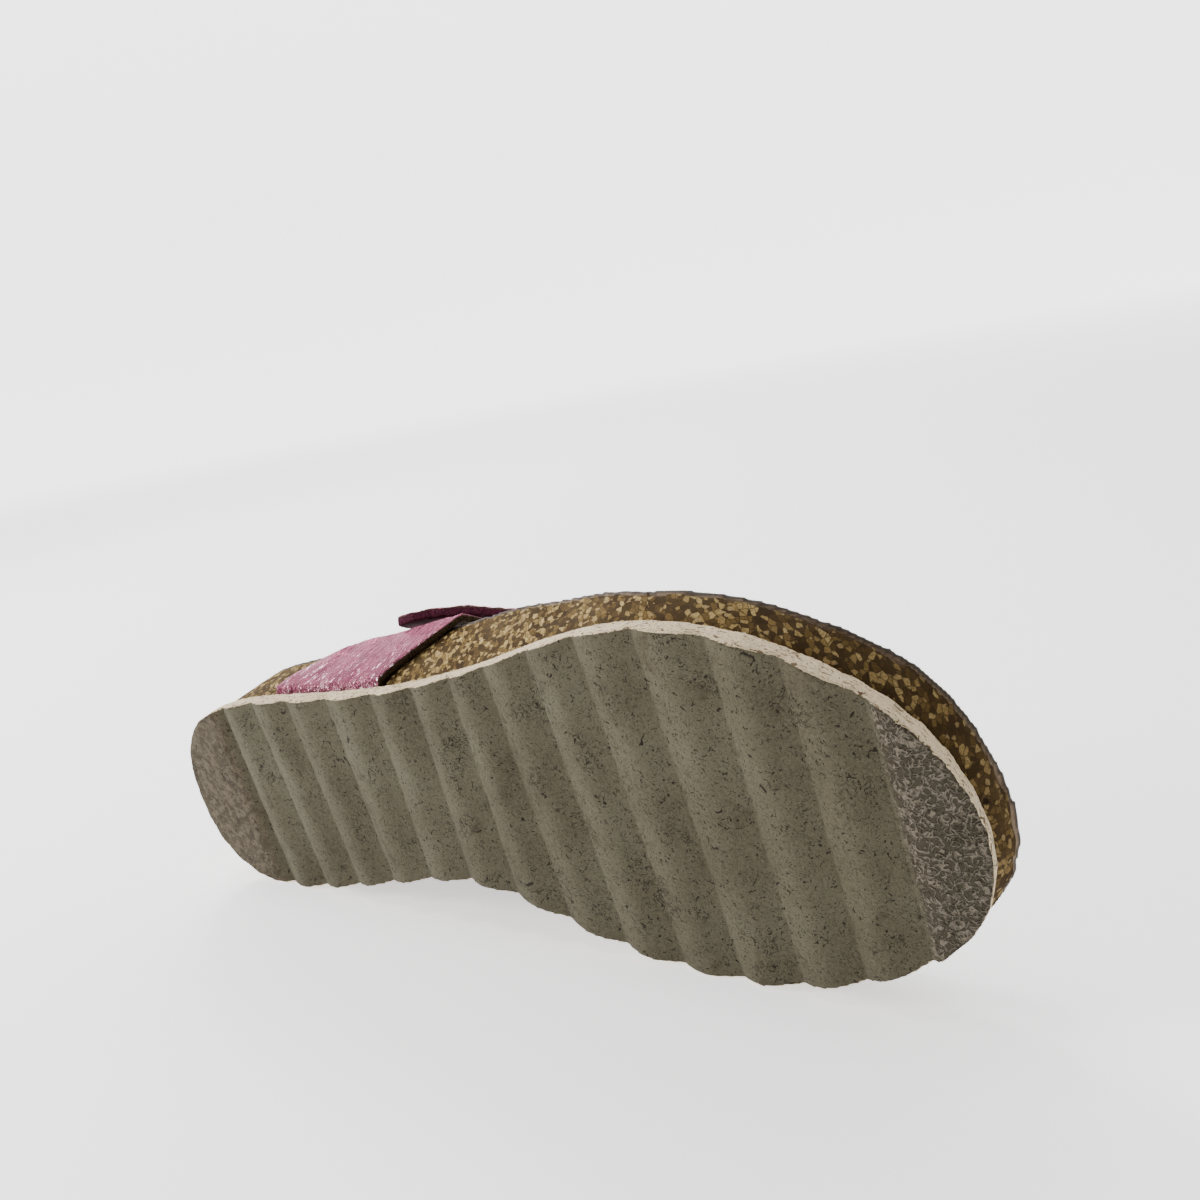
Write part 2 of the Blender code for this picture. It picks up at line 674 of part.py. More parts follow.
def cut_leather(outline, lift, thickness, name, parts, holes=()):
    """Cut a piece from flat leather and wrap it round the last. The leather is
    a grid of station against girth, so it bends where the last bends."""
    cutters = new_collection(name + "_pattern")
    low = (min(x for x, _ in outline) - 3.0, min(g for _, g in outline) - 0.1)
    high = (max(x for x, _ in outline) + 3.0, max(g for _, g in outline) + 0.1)
    rows = round((high[0] - low[0]) / LEATHER_GRID)
    stations = [blend(low[0], high[0], i / rows) for i in range(rows + 1)]
    marks = [i / LEATHER_FOLDS for i in range(-LEATHER_FOLDS, LEATHER_FOLDS + 1)]
    marks += [side * mark for side in (-1, 1) for mark in (1.25, 1.5, 1.75, 2.0, 2.2, 2.6, 3.0)]
    girths = sorted([low[1], high[1]] + [mark for mark in marks if low[1] < mark < high[1]])
    bm = bmesh.new()
    grid = [[bm.verts.new(Vector((x, g * GIRTH_SCALE, 0)) * MM) for g in girths]
            for x in stations]
    for i in range(len(stations) - 1):
        for j in range(len(girths) - 1):
            bm.faces.new((grid[i][j], grid[i + 1][j], grid[i + 1][j + 1], grid[i][j + 1]))
    raised = bmesh.ops.extrude_face_region(bm, geom=bm.faces[:])["geom"]
    lifted = [item for item in raised if isinstance(item, bmesh.types.BMVert)]
    bmesh.ops.translate(bm, verts=lifted, vec=Vector((0, 0, LAYER_SCALE)) * MM)
    leather = object_from_bmesh(bm, name, parts)
    shape = prism([(x, g * GIRTH_SCALE) for x, g in outline], -5.0, LAYER_SCALE + 5.0,
                  name + "_outline", cutters)
    join(leather, shape, "INTERSECT", cutters)
    for k, hole in enumerate(holes):
        punch = prism([(x, g * GIRTH_SCALE) for x, g in hole], -5.0, LAYER_SCALE + 5.0,
                      "%s_hole_%d" % (name, k), cutters)
        join(leather, punch, "DIFFERENCE", cutters)
    bake_modifiers(leather)
    for tool in list(cutters.objects):
        bpy.data.objects.remove(tool)
    bpy.data.collections.remove(cutters)
    bm = bmesh.new()
    bm.from_mesh(leather.data)
    bmesh.ops.triangulate(bm, faces=bm.faces)
    for vert in bm.verts:
        station, girth = vert.co.x / MM, vert.co.y / MM / GIRTH_SCALE
        layer = vert.co.z / MM / LAYER_SCALE
        offset = lift(station, girth) + layer * thickness
        vert.co = (last_point(station, girth) + last_normal(station, girth) * offset) * MM
    face_outwards(bm)
    bm.to_mesh(leather.data)
    bm.free()
    return leather


def open_curve(points, steps):
    """A smooth curve through points, from the first to the last."""
    curve = []
    for i in range(len(points) - 1):
        start, end = Vector(points[i]), Vector(points[i + 1])
        before = Vector(points[i - 1]) if i else start
        after = Vector(points[i + 2]) if i + 2 < len(points) else end
        for k in range(steps):
            t = k / steps
            curve.append(0.5 * (2 * start + (end - before) * t
                                + (2 * before - 5 * start + 4 * end - after) * t ** 2
                                + (3 * start - before - 3 * end + after) * t ** 3))
    curve.append(Vector(points[-1]))
    return [tuple(point) for point in curve]


def build_side_strap(parts, cutters):
    """The lateral strap, from its lasted margin to the loop round the bar."""
    rear = open_curve([(cut.rear, cut.girth) for cut in SIDE_STRAP_CUTS]
                      + [flat_point(24.0, -11.5), flat_point(LOOP_START, -10.8)], 3)
    front = open_curve([flat_point(LOOP_START, 10.8), flat_point(24.0, 11.8)]
                       + [(cut.front, cut.girth) for cut in reversed(SIDE_STRAP_CUTS)], 3)
    outline = rear + front
    strap = cut_leather(outline, wing_lift, WING_THICKNESS, "side_strap", parts)
    half = BAND_WIDTH * 0.5 - 0.6
    bar_ends = [buckle_place(HEEL_BAR, side * half, HEEL_BAR_HEIGHT) for side in (-1, 1)]
    loop = cylinder("strap_loop", *bar_ends, LOOP_RADIUS, 16, cutters)
    long_ends = [buckle_place(HEEL_BAR, side * (half + 6.0), HEEL_BAR_HEIGHT)
                 for side in (-1, 1)]
    bore = cylinder("strap_bore", *long_ends, HEEL_BAR_WIRE * 0.5 + SEAT, 16, cutters)
    slot_ends = [buckle_place(HEEL_BAR - 1.2, side * (PRONG_WIRE * 0.5 + 0.6), 4.0)
                 for side in (-1, 1)]
    slot = cylinder("prong_slot", *slot_ends, 5.6, 12, cutters)
    join(strap, loop, "UNION", cutters)
    join(strap, bore, "DIFFERENCE", cutters)
    join(strap, slot, "DIFFERENCE", cutters)
    return strap


def build_upper(parts):
    """Toe bar, medial strap and the band to the buckle, cut in one piece."""
    half = BAND_WIDTH * 0.5
    straight = (0.0, 14.0, 28.0, TAB_LENGTH - 9.0)
    tab_rear = [flat_point(run, -half) for run in (-12.0,) + straight]
    tip = [flat_point(TAB_LENGTH - 2.5, -half * 0.72), flat_point(TAB_LENGTH, 0.0),
           flat_point(TAB_LENGTH - 2.5, half * 0.72)]
    tab_front = [flat_point(run, half) for run in reversed((-12.0,) + straight)]
    bar_lateral = [(bar.station, bar.lateral) for bar in TOE_BAR]
    bar_end = [(TOE_BAR_END, 0.0)]
    bar_medial = [(bar.station, bar.medial) for bar in reversed(TOE_BAR)]
    medial_front = [(cut.front, cut.girth) for cut in MEDIAL_CUTS]
    medial_rear = [(cut.rear, cut.girth) for cut in reversed(MEDIAL_CUTS)]
    crown = [(115.0, 0.26), (131.0, 0.09), (137.0, -0.07)]
    one = open_curve(tab_front + bar_lateral + bar_end + bar_medial
                     + medial_front, 2)
    other = open_curve(medial_rear + crown + tab_rear + tip, 2)
    outline = other + one[:-1] + [one[-1]]
    slot = []
    for k in range(12):
        angle = 2 * math.pi * k / 12
        run = 3.0 + 6.4 * math.cos(angle)
        slot.append(flat_point(run, 1.9 * math.sin(angle)))
    return cut_leather(outline, band_lift, BAND_THICKNESS, "upper", parts, holes=[slot])


def wire(name, points, radius, closed, parts, detail=2):
    curve = bpy.data.curves.new(name, "CURVE")
    curve.dimensions = "3D"
    curve.bevel_depth = radius * MM
    curve.bevel_resolution = detail
    curve.use_fill_caps = True
    spline = curve.splines.new("POLY")
    spline.points.add(len(points) - 1)
    for item, point in zip(spline.points, points):
        item.co = (*(point * MM), 1.0)
    spline.use_cyclic_u = closed
    obj = bpy.data.objects.new(name, curve)
    parts.objects.link(obj)
    return obj


def build_buckle(parts):
    """A rounded wire frame on the strap's loop, and its prong."""
    front_height = BAND_THICKNESS + 0.4 + FRAME_WIRE * 0.5
    corner = 4.0
    points = []
    for side_run, side_across in ((-1, -1), (-1, 1), (1, 1), (1, -1)):
        run_edge = FRONT_BAR if side_run < 0 else HEEL_BAR
        centre_run = run_edge - side_run * corner
        centre_across = side_across * (FRAME_HALF_WIDTH - corner)
        for k in range(5):
            angle = math.pi * 0.5 * k / 4
            if side_run * side_across > 0:
                ease_run, ease_across = math.sin(angle), math.cos(angle)
            else:
                ease_run, ease_across = math.cos(angle), math.sin(angle)
            run = centre_run + side_run * corner * ease_run
            across = centre_across + side_across * corner * ease_across
            share = (run - FRONT_BAR) / (HEEL_BAR - FRONT_BAR)
            points.append((run, across, blend(front_height, HEEL_BAR_HEIGHT, share)))
    frame_points = [buckle_place(*point) for point in points]
    frame = wire("buckle_frame", frame_points, HEEL_BAR_WIRE * 0.5, True, parts, 3)
    ring = HEEL_BAR_WIRE * 0.5 + SEAT + PRONG_WIRE * 0.5
    path = []
    for k in range(8):
        angle = math.radians(blend(-130.0, 105.0, k / 7))
        path.append((HEEL_BAR + ring * math.cos(angle), HEEL_BAR_HEIGHT + ring * math.sin(angle)))
    rest = front_height + HEEL_BAR_WIRE * 0.5 + SEAT + PRONG_WIRE * 0.5
    path += [(5.0, 5.6), (0.0, 6.2), (FRONT_BAR, rest), (FRONT_BAR - 3.0, rest - 0.3)]
    prong_points = [buckle_place(run, 0.0, out) for run, out in path]
    prong = wire("buckle_prong", prong_points, PRONG_WIRE * 0.5, False, parts, 2)
    return frame, prong


def build_toe_post(parts):
    """The post between the toes, from its pocket in the cork to the bar."""
    station = POST_STATION
    side = form(station, "crown_side")
    bed = form(station, "bed") + spring(station)
    low = bed - LINING - POST_DEPTH + SEAT
    high = last_point(station, 0.0).z - 1.2
    return cylinder("toe_post", (station, side, low), (station, side, high),
                    POST_WIDTH * 0.5, 20, parts)


def give_material(obj, colour, roughness, metallic):
    material = bpy.data.materials.new(obj.name + "_finish")
    material.use_nodes = True
    shader = material.node_tree.nodes["Principled BSDF"]
    shader.inputs["Base Color"].default_value = (*colour, 1.0)
    shader.inputs["Roughness"].default_value = roughness
    shader.inputs["Metallic"].default_value = metallic
    obj.data.materials.clear()
    obj.data.materials.append(material)


def lay_down(objects, cutters):
    """Turn the sandal onto its side and stand it on the ground's centre."""
    lying = bpy.data.objects.new("lying", None)
    bpy.context.scene.collection.objects.link(lying)
    for obj in objects + list(cutters.objects):
        obj.parent = lying
    turn = (Matrix.Rotation(math.radians(LYING_PITCH), 4, "Y")
            @ Matrix.Rotation(math.radians(LYING_ROLL), 4, "X"))
    lying.matrix_world = turn
    bpy.context.view_layer.update()
    graph = bpy.context.evaluated_depsgraph_get()
    corners = []
    for obj in objects:
        shown = obj.evaluated_get(graph)
        mesh = shown.to_mesh()
        corners += [turn @ vert.co for vert in mesh.vertices]
        shown.to_mesh_clear()
    low = [min(corner[k] for corner in corners) for k in range(3)]
    high = [max(corner[k] for corner in corners) for k in range(3)]
    lying.location = (-(low[0] + high[0]) / 2, -(low[1] + high[1]) / 2, -low[2])


def main():
    clear_scene()
    parts = new_collection("cork_footbed_sandal")
    cutters = new_collection("cutters")
    outsole = build_outsole(parts, cutters)
    cork, lining = build_bed(parts, cutters)
    side_strap = build_side_strap(parts, cutters)
    upper = build_upper(parts)
    post = build_toe_post(parts)
    frame, prong = build_buckle(parts)
    give_material(outsole, (0.24, 0.22, 0.17), 0.85, 0.0)
    give_material(cork, (0.23, 0.14, 0.065), 0.8, 0.0)
    give_material(lining, (0.30, 0.22, 0.15), 0.95, 0.0)
    give_material(side_strap, (0.55, 0.24, 0.32), 0.35, 0.6)
    give_material(upper, (0.55, 0.24, 0.32), 0.35, 0.6)
    give_material(post, (0.45, 0.2, 0.27), 0.5, 0.3)
    give_material(frame, (0.6, 0.6, 0.58), 0.3, 1.0)
    give_material(prong, (0.6, 0.6, 0.58), 0.3, 1.0)
    lay_down([outsole, cork, lining, side_strap, upper, post, frame, prong], cutters)


main()
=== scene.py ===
import math

import bpy
import numpy as np
from mathutils import Matrix, Vector


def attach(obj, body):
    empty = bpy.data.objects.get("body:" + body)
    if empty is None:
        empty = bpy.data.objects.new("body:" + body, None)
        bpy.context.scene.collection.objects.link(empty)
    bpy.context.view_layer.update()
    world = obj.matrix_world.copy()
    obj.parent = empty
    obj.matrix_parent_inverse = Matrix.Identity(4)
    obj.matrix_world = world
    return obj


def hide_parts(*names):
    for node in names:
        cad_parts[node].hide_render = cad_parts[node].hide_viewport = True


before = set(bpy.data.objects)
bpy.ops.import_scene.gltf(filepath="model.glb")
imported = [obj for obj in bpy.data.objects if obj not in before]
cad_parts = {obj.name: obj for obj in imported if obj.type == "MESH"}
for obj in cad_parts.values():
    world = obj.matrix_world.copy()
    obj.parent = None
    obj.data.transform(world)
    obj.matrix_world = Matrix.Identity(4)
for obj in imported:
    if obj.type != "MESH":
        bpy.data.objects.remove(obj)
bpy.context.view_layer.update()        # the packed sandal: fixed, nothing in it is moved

# The sandal is described as it is worn, in millimetres: x from heel to toe, y to the big toe's
# side, z up from the ground. This is how it lies.
lying = {"roll": -83.66, "pitch": -2.28, "place": (-0.1233521, -0.0294975, 0.0301546)}
wornToWorld = (Matrix.Translation(lying["place"])
               @ Matrix.Rotation(math.radians(lying["pitch"]), 4, "Y")
               @ Matrix.Rotation(math.radians(lying["roll"]), 4, "X"))
worldToWorn = wornToWorld.inverted()


def getWorn(piece):
    spots = np.zeros(len(piece.data.vertices) * 3)
    piece.data.vertices.foreach_get("co", spots)
    turn = np.array(worldToWorn)
    return (spots.reshape(-1, 3) @ turn[:3, :3].T + turn[:3, 3]) * 1000.0


def setWorn(piece, spots):
    turn = np.array(wornToWorld)
    world = (np.asarray(spots) * 0.001) @ turn[:3, :3].T + turn[:3, 3]
    piece.data.vertices.foreach_set("co", world.astype(np.float32).ravel())
    piece.data.update()


def wornNormals(piece):
    ways = np.zeros(len(piece.data.vertices) * 3)
    piece.data.vertices.foreach_get("normal", ways)
    return ways.reshape(-1, 3) @ np.array(worldToWorn)[:3, :3].T


def softStep(value, low, high):
    share = np.clip((value - low) / (high - low), 0.0, 1.0)
    return share * share * (3.0 - 2.0 * share)


def onlySelect(piece):
    bpy.ops.object.select_all(action="DESELECT")
    piece.select_set(True)
    bpy.context.view_layer.objects.active = piece


def applyAll(piece):
    onlySelect(piece)
    for modifier in list(piece.modifiers):
        bpy.ops.object.modifier_apply(modifier=modifier.name)


def denseCopy(node, name, voxel, rounds):
    # a fine, even mesh on the CAD node's own shape
    piece = bpy.data.objects.new(name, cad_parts[node].data.copy())
    bpy.context.scene.collection.objects.link(piece)
    piece.data.materials.clear()
    onlySelect(piece)
    bpy.ops.object.mode_set(mode="EDIT")
    bpy.ops.mesh.select_all(action="SELECT")
    bpy.ops.mesh.remove_doubles(threshold=0.000001)
    bpy.ops.object.mode_set(mode="OBJECT")
    remesh = piece.modifiers.new("evenMesh", "REMESH")
    remesh.mode = "VOXEL"
    remesh.voxel_size = voxel * 0.001
    soften = piece.modifiers.new("soften", "SMOOTH")
    soften.factor = 0.5
    soften.iterations = rounds
    applyAll(piece)
    return piece


def addMark(piece, name, values):
    mark = piece.data.attributes.new(name, "FLOAT", "POINT")
    mark.data.foreach_set("value", np.asarray(values, dtype=np.float32))


def smoothAll(piece):
    for face in piece.data.polygons:
        face.use_smooth = True


def finishPiece(piece, materials, node):
    for material in materials:
        piece.data.materials.append(material)
    smoothAll(piece)
    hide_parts(node)
    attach(piece, "root")
    print("made", piece.name, len(piece.data.polygons), "faces")


# Noise on points, the same each run: a smooth lattice of fixed random numbers
latticeSize = 32
lattice = np.random.default_rng(7).uniform(-1.0, 1.0, (latticeSize,) * 3)


def waves(spots, size):
    grid = np.asarray(spots) / size
    cell = np.floor(grid).astype(int)
    part = grid - cell
    part = part * part * (3.0 - 2.0 * part)
    total = np.zeros(len(grid))
    for i in (0, 1):
        for j in (0, 1):
            for k in (0, 1):
                at = (cell + (i, j, k)) % latticeSize
                corner = lattice[at[:, 0], at[:, 1], at[:, 2]]
                weight = (np.abs(1 - i - part[:, 0]) * np.abs(1 - j - part[:, 1])
                          * np.abs(1 - k - part[:, 2]))
                total += corner * weight
    return total


def unevenness(spots, large, small, share, shift):
    # small waves laid over large ones
    return waves(spots, large) + share * waves(spots + shift, small)


# Shader helpers


def newMaterial(name):
    material = bpy.data.materials.new(name)
    material.use_nodes = True
    tree = material.node_tree
    shader = tree.nodes["Principled BSDF"]
    return material, tree, shader


def wornPlace(tree):
    # worn millimetres, whatever way the sandal lies
    where = tree.nodes.new("ShaderNodeTexCoord")
    turn = tree.nodes.new("ShaderNodeMapping")
    turn.vector_type = "TEXTURE"
    turn.inputs["Location"].default_value = lying["place"]
    turns = (lying["roll"], lying["pitch"], 0)
    turn.inputs["Rotation"].default_value = [math.radians(a) for a in turns]
    turn.inputs["Scale"].default_value = (0.001, 0.001, 0.001)
    tree.links.new(where.outputs["Object"], turn.inputs["Vector"])
    return turn.outputs["Vector"]


def stretched(tree, place, scale, turn=(0, 0, 0)):
    mapping = tree.nodes.new("ShaderNodeMapping")
    mapping.inputs["Scale"].default_value = scale
    mapping.inputs["Rotation"].default_value = [math.radians(a) for a in turn]
    tree.links.new(place, mapping.inputs["Vector"])
    return mapping.outputs["Vector"]


def calculated(tree, operation, a, b=None):
    node = tree.nodes.new("ShaderNodeMath")
    node.operation = operation
    for socket, value in zip(node.inputs, (a, b)):
        if value is None:
            continue
        if isinstance(value, (int, float)):
            socket.default_value = value
        else:
            tree.links.new(value, socket)
    return node.outputs[0]


def plus(tree, a, b):
    return calculated(tree, "ADD", a, b)


def minus(tree, a, b):
    return calculated(tree, "SUBTRACT", a, b)


def times(tree, a, b):
    return calculated(tree, "MULTIPLY", a, b)


def larger(tree, a, b):
    return calculated(tree, "MAXIMUM", a, b)


def fromMiddle(tree, value):
    # how far a noise lies from its middle value, for lines and ridges
    return calculated(tree, "ABSOLUTE", minus(tree, value, 0.5))


def ranged(tree, value, low, high, toLow=0.0, toHigh=1.0):
    node = tree.nodes.new("ShaderNodeMapRange")
    node.interpolation_type = "SMOOTHSTEP"
    tree.links.new(value, node.inputs["Value"])
    node.inputs["From Min"].default_value = low
    node.inputs["From Max"].default_value = high
    node.inputs["To Min"].default_value = toLow
    node.inputs["To Max"].default_value = toHigh
    return node.outputs["Result"]


def mixed(tree, share, first, second):
    node = tree.nodes.new("ShaderNodeMix")
    node.data_type = "RGBA"
    sockets = (node.inputs["Factor"], node.inputs[6], node.inputs[7])
    for socket, value in zip(sockets, (share, first, second)):
        if isinstance(value, (int, float)):
            socket.default_value = value
        elif isinstance(value, (tuple, list)):
            socket.default_value = (*value, 1.0)
        else:
            tree.links.new(value, socket)
    return node.outputs[2]


def noiseNode(tree, place, scale, detail=4.0, rough=0.55, twist=0.0):
    node = tree.nodes.new("ShaderNodeTexNoise")
    tree.links.new(place, node.inputs["Vector"])
    node.inputs["Scale"].default_value = scale
    node.inputs["Detail"].default_value = detail
    node.inputs["Roughness"].default_value = rough
    node.inputs["Distortion"].default_value = twist
    return node


def noise(tree, place, *settings):
    return noiseNode(tree, place, *settings).outputs["Fac"]


def cells(tree, place, scale, feature="F1"):
    node = tree.nodes.new("ShaderNodeTexVoronoi")
    node.feature = feature
    tree.links.new(place, node.inputs["Vector"])
    node.inputs["Scale"].default_value = scale
    return node


def ramp(tree, value, stops):
    node = tree.nodes.new("ShaderNodeValToRGB")
    node.color_ramp.elements.remove(node.color_ramp.elements[1])
    for k, (at, colour) in enumerate(stops):
        stop = node.color_ramp.elements[0] if k == 0 else node.color_ramp.elements.new(at)
        stop.position = at
        stop.color = (*colour, 1.0)
    tree.links.new(value, node.inputs["Fac"])
    return node.outputs["Color"]


def wobbled(tree, place, scale, amount):
    # the same place, pushed about by noise, so that cells lose their straight sides
    push = noiseNode(tree, place, scale, 3.0)
    centre = tree.nodes.new("ShaderNodeVectorMath")
    centre.operation = "SUBTRACT"
    centre.inputs[1].default_value = (0.5, 0.5, 0.5)
    tree.links.new(push.outputs["Color"], centre.inputs[0])
    grow = tree.nodes.new("ShaderNodeVectorMath")
    grow.operation = "MULTIPLY_ADD"
    grow.inputs[1].default_value = (amount, amount, amount)
    tree.links.new(centre.outputs[0], grow.inputs[0])
    tree.links.new(place, grow.inputs[2])
    return grow.outputs[0]


def bump(tree, shader, height, distance, strength):
    node = tree.nodes.new("ShaderNodeBump")
    node.inputs["Strength"].default_value = strength
    node.inputs["Distance"].default_value = distance
    tree.links.new(height, node.inputs["Height"])
    tree.links.new(node.outputs["Normal"], shader.inputs["Normal"])


def vectorLength(tree, place):
    node = tree.nodes.new("ShaderNodeVectorMath")
    node.operation = "LENGTH"
    tree.links.new(place, node.inputs[0])
    return node.outputs["Value"]


def markOf(tree, name):
    node = tree.nodes.new("ShaderNodeAttribute")
    node.attribute_name = name
    return node.outputs["Fac"]


def axisOf(tree, place, axis):
    node = tree.nodes.new("ShaderNodeSeparateXYZ")
    tree.links.new(place, node.inputs[0])
    return node.outputs[axis]


# Specks and torn bits: how crooked they are, and how soft their borders
flecking = {"speckWobble": (0.9, 1.1), "speckBorder": (0.0, 0.06),
            "bitNoise": (1.0, 2.0, 0.55, 1.6), "bitBorder": (0.0, 0.025)}


# Round specks, as a mask: the cork's pits and its pale chips
def makeSpeckGroup():
    group = bpy.data.node_groups.new("roundSpecks", "ShaderNodeTree")
    group.interface.new_socket("Place", in_out="INPUT", socket_type="NodeSocketVector")
    for name, value in (("Cell", 1.0), ("Reach", 0.3), ("Share", 0.5)):
        socket = group.interface.new_socket(name, in_out="INPUT", socket_type="NodeSocketFloat")
        socket.default_value = value
    group.interface.new_socket("Mask", in_out="OUTPUT", socket_type="NodeSocketFloat")
    start = group.nodes.new("NodeGroupInput")
    end = group.nodes.new("NodeGroupOutput")
    crooked = wobbled(group, start.outputs["Place"], *flecking["speckWobble"])
    spots = cells(group, crooked, 1.0)
    density = calculated(group, "DIVIDE", 1.0, start.outputs["Cell"])
    group.links.new(density, spots.inputs["Scale"])
    chance = axisOf(group, spots.outputs["Color"], 0)
    chosen = calculated(group, "LESS_THAN", chance, start.outputs["Share"])
    size = times(group, start.outputs["Reach"], axisOf(group, spots.outputs["Color"], 1))
    inside = minus(group, size, spots.outputs["Distance"])
    crisp = ranged(group, inside, *flecking["speckBorder"])
    group.links.new(times(group, crisp, chosen), end.inputs["Mask"])
    return group


speckGroup = makeSpeckGroup()


def specks(tree, place, cell, reach, share):
    node = tree.nodes.new("ShaderNodeGroup")
    node.node_tree = speckGroup
    tree.links.new(place, node.inputs["Place"])
    node.inputs["Cell"].default_value = cell
    node.inputs["Reach"].default_value = reach
    node.inputs["Share"].default_value = share
    return node.outputs["Mask"]


# Small torn bits of another tone, no two alike, as a mask
def makeBitsGroup():
    group = bpy.data.node_groups.new("tornBits", "ShaderNodeTree")
    group.interface.new_socket("Place", in_out="INPUT", socket_type="NodeSocketVector")
    group.interface.new_socket("Scale", in_out="INPUT", socket_type="NodeSocketFloat")
    group.interface.new_socket("Rarity", in_out="INPUT", socket_type="NodeSocketFloat")
    group.interface.new_socket("Mask", in_out="OUTPUT", socket_type="NodeSocketFloat")
    entry = group.nodes.new("NodeGroupInput")
    leave = group.nodes.new("NodeGroupOutput")
    bits = noiseNode(group, entry.outputs["Place"], *flecking["bitNoise"])
    group.links.new(entry.outputs["Scale"], bits.inputs["Scale"])
    over = minus(group, bits.outputs["Fac"], entry.outputs["Rarity"])
    mask = ranged(group, over, *flecking["bitBorder"])
    group.links.new(mask, leave.inputs["Mask"])
    return group


bitsGroup = makeBitsGroup()


def tornFlecks(tree, place, scale, rarity):
    node = tree.nodes.new("ShaderNodeGroup")
    node.node_tree = bitsGroup
    tree.links.new(place, node.inputs["Place"])
    node.inputs["Scale"].default_value = scale
    node.inputs["Rarity"].default_value = rarity
    return node.outputs["Mask"]


# The outsole. Grain is scale, detail, roughness and twist of a noise; a mask is from, to and
# what these two become; flecks are their density and rarity.

sole = {
    "length": 246.8, "lateralSide": -42.0, "medialSide": 31.0, "voxel": 0.72, "smoothing": 5,
    "rippleDepth": 2.2, "cuspLean": 0.9, "cuspPower": 0.6, "waveShare": 0.5, "waveShift": 0.07,
    "heelFade": 7.0, "toeFade": 6.0, "spring": 1.2, "springStart": 190.0,
    "rocker": 2.6, "rockerStart": 229.0, "rockerPower": 1.6,
    "uneven": 0.10, "unevenWaves": (9.0, 3.2, 0.5, 40.0), "sideUneven": 0.07, "sideWave": 6.0,
    "downward": (0.3, 0.75), "sideways": (0.5, 0.9), "treadFacing": (0.35, 0.8),
    "lateralGrooves": (26.7, 41.2, 56.6, 73.9, 92.4, 108.0, 121.8,
                       134.3, 148.7, 163.4, 179.3, 196.2, 211.5, 226.9),
    "medialGrooves": (28.3, 43.8, 59.3, 74.8, 90.3, 105.8, 121.3,
                      136.8, 152.3, 167.8, 183.3, 198.8, 214.3, 229.8),
    "roughness": 0.82, "gloss": 0.12, "bump": (0.00042, 0.85), "toeSlant": 0.04,
    "heelWander": 3.0, "wallFuzz": 0.1,
    "tones": {
        "tread": ((0.3, (0.060, 0.051, 0.031)), (0.5, (0.080, 0.070, 0.044)),
                  (0.7, (0.100, 0.090, 0.060))),
        "dust": (0.130, 0.118, 0.080), "smudge": (0.045, 0.034, 0.019),
        # the darker tone at the ripple bottoms is dirt with painted shade
        "groove": (0.058, 0.052, 0.034), "heel": (0.085, 0.060, 0.036),
        "heelDark": (0.040, 0.030, 0.018), "heelPale": (0.115, 0.094, 0.064),
        "fleck": (0.012, 0.008, 0.005), "cream": (0.57, 0.45, 0.285),
        "creamPale": (0.72, 0.59, 0.40), "dash": (0.085, 0.048, 0.022),
        # the pale ridge tone is a painted highlight on the toe's raised worms, the hollow tone
        # painted shade between them
        "creamDirt": (0.40, 0.30, 0.19), "ridgeAndHighlight": (0.150, 0.126, 0.094),
        "hollowShade": (0.030, 0.023, 0.015),
    },
    "grain": {
        "broad": (0.035, 3.0, 0.6), "fine": (1.3, 4.0, 0.7), "smudge": (1.0, 4.0, 0.65, 0.6),
        "blotch": (0.38, 4.0, 0.6, 0.8), "patch": (0.075, 2.0), "curl": (0.42, 3.0, 0.5, 1.2),
        "creamDirt": (0.12, 4.0, 0.7), "worm": (0.60, 1.5, 0.5, 0.8),
        "wrinkle": (0.5, 4.0, 0.6), "pores": (3.2, 3.0, 0.6),
    },
    "masks": {
        "dust": (0.35, 0.7, 0.0, 0.4), "smudge": (0.54, 0.74, 0.0, 0.5),
        "groove": (0.8, 1.0, 0.0, 0.35), "heel": (24.0, 29.0, 1.0, 0.0),
        "blotch": (0.38, 0.62), "toe": (228.5, 231.0), "patch": (0.56, 0.64),
        "curl": (0.006, 0.022, 1.0, 0.0), "cream": (0.4, 0.7), "side": (0.42, 0.56),
        "creamDirt": (0.54, 0.72, 0.0, 0.5), "ridgeAndHighlight": (0.01, 0.10, 1.0, 0.0),
        "hollowShade": (0.0, 0.28, 0.7, 0.0),
    },
    "flecks": {"dust": (2.2, 0.625), "small": (1.05, 0.640), "medium": (0.50, 0.662),
               "dash": (1.1, 0.575)},
    "share": {"heel": 0.55, "heelBlotch": 0.7, "dust": 0.7, "flecks": 0.92, "dash": 0.9},
    "height": {"pores": 0.22, "fine": 0.35, "flecks": 0.35, "heel": 2.2, "toe": 3.2},
    "smudgeStretch": (0.16, 0.10, 0.16), "dashStretch": (0.5, 0.5, 1.0),
    "wrinkleWobble": (0.5, 1.5),
}


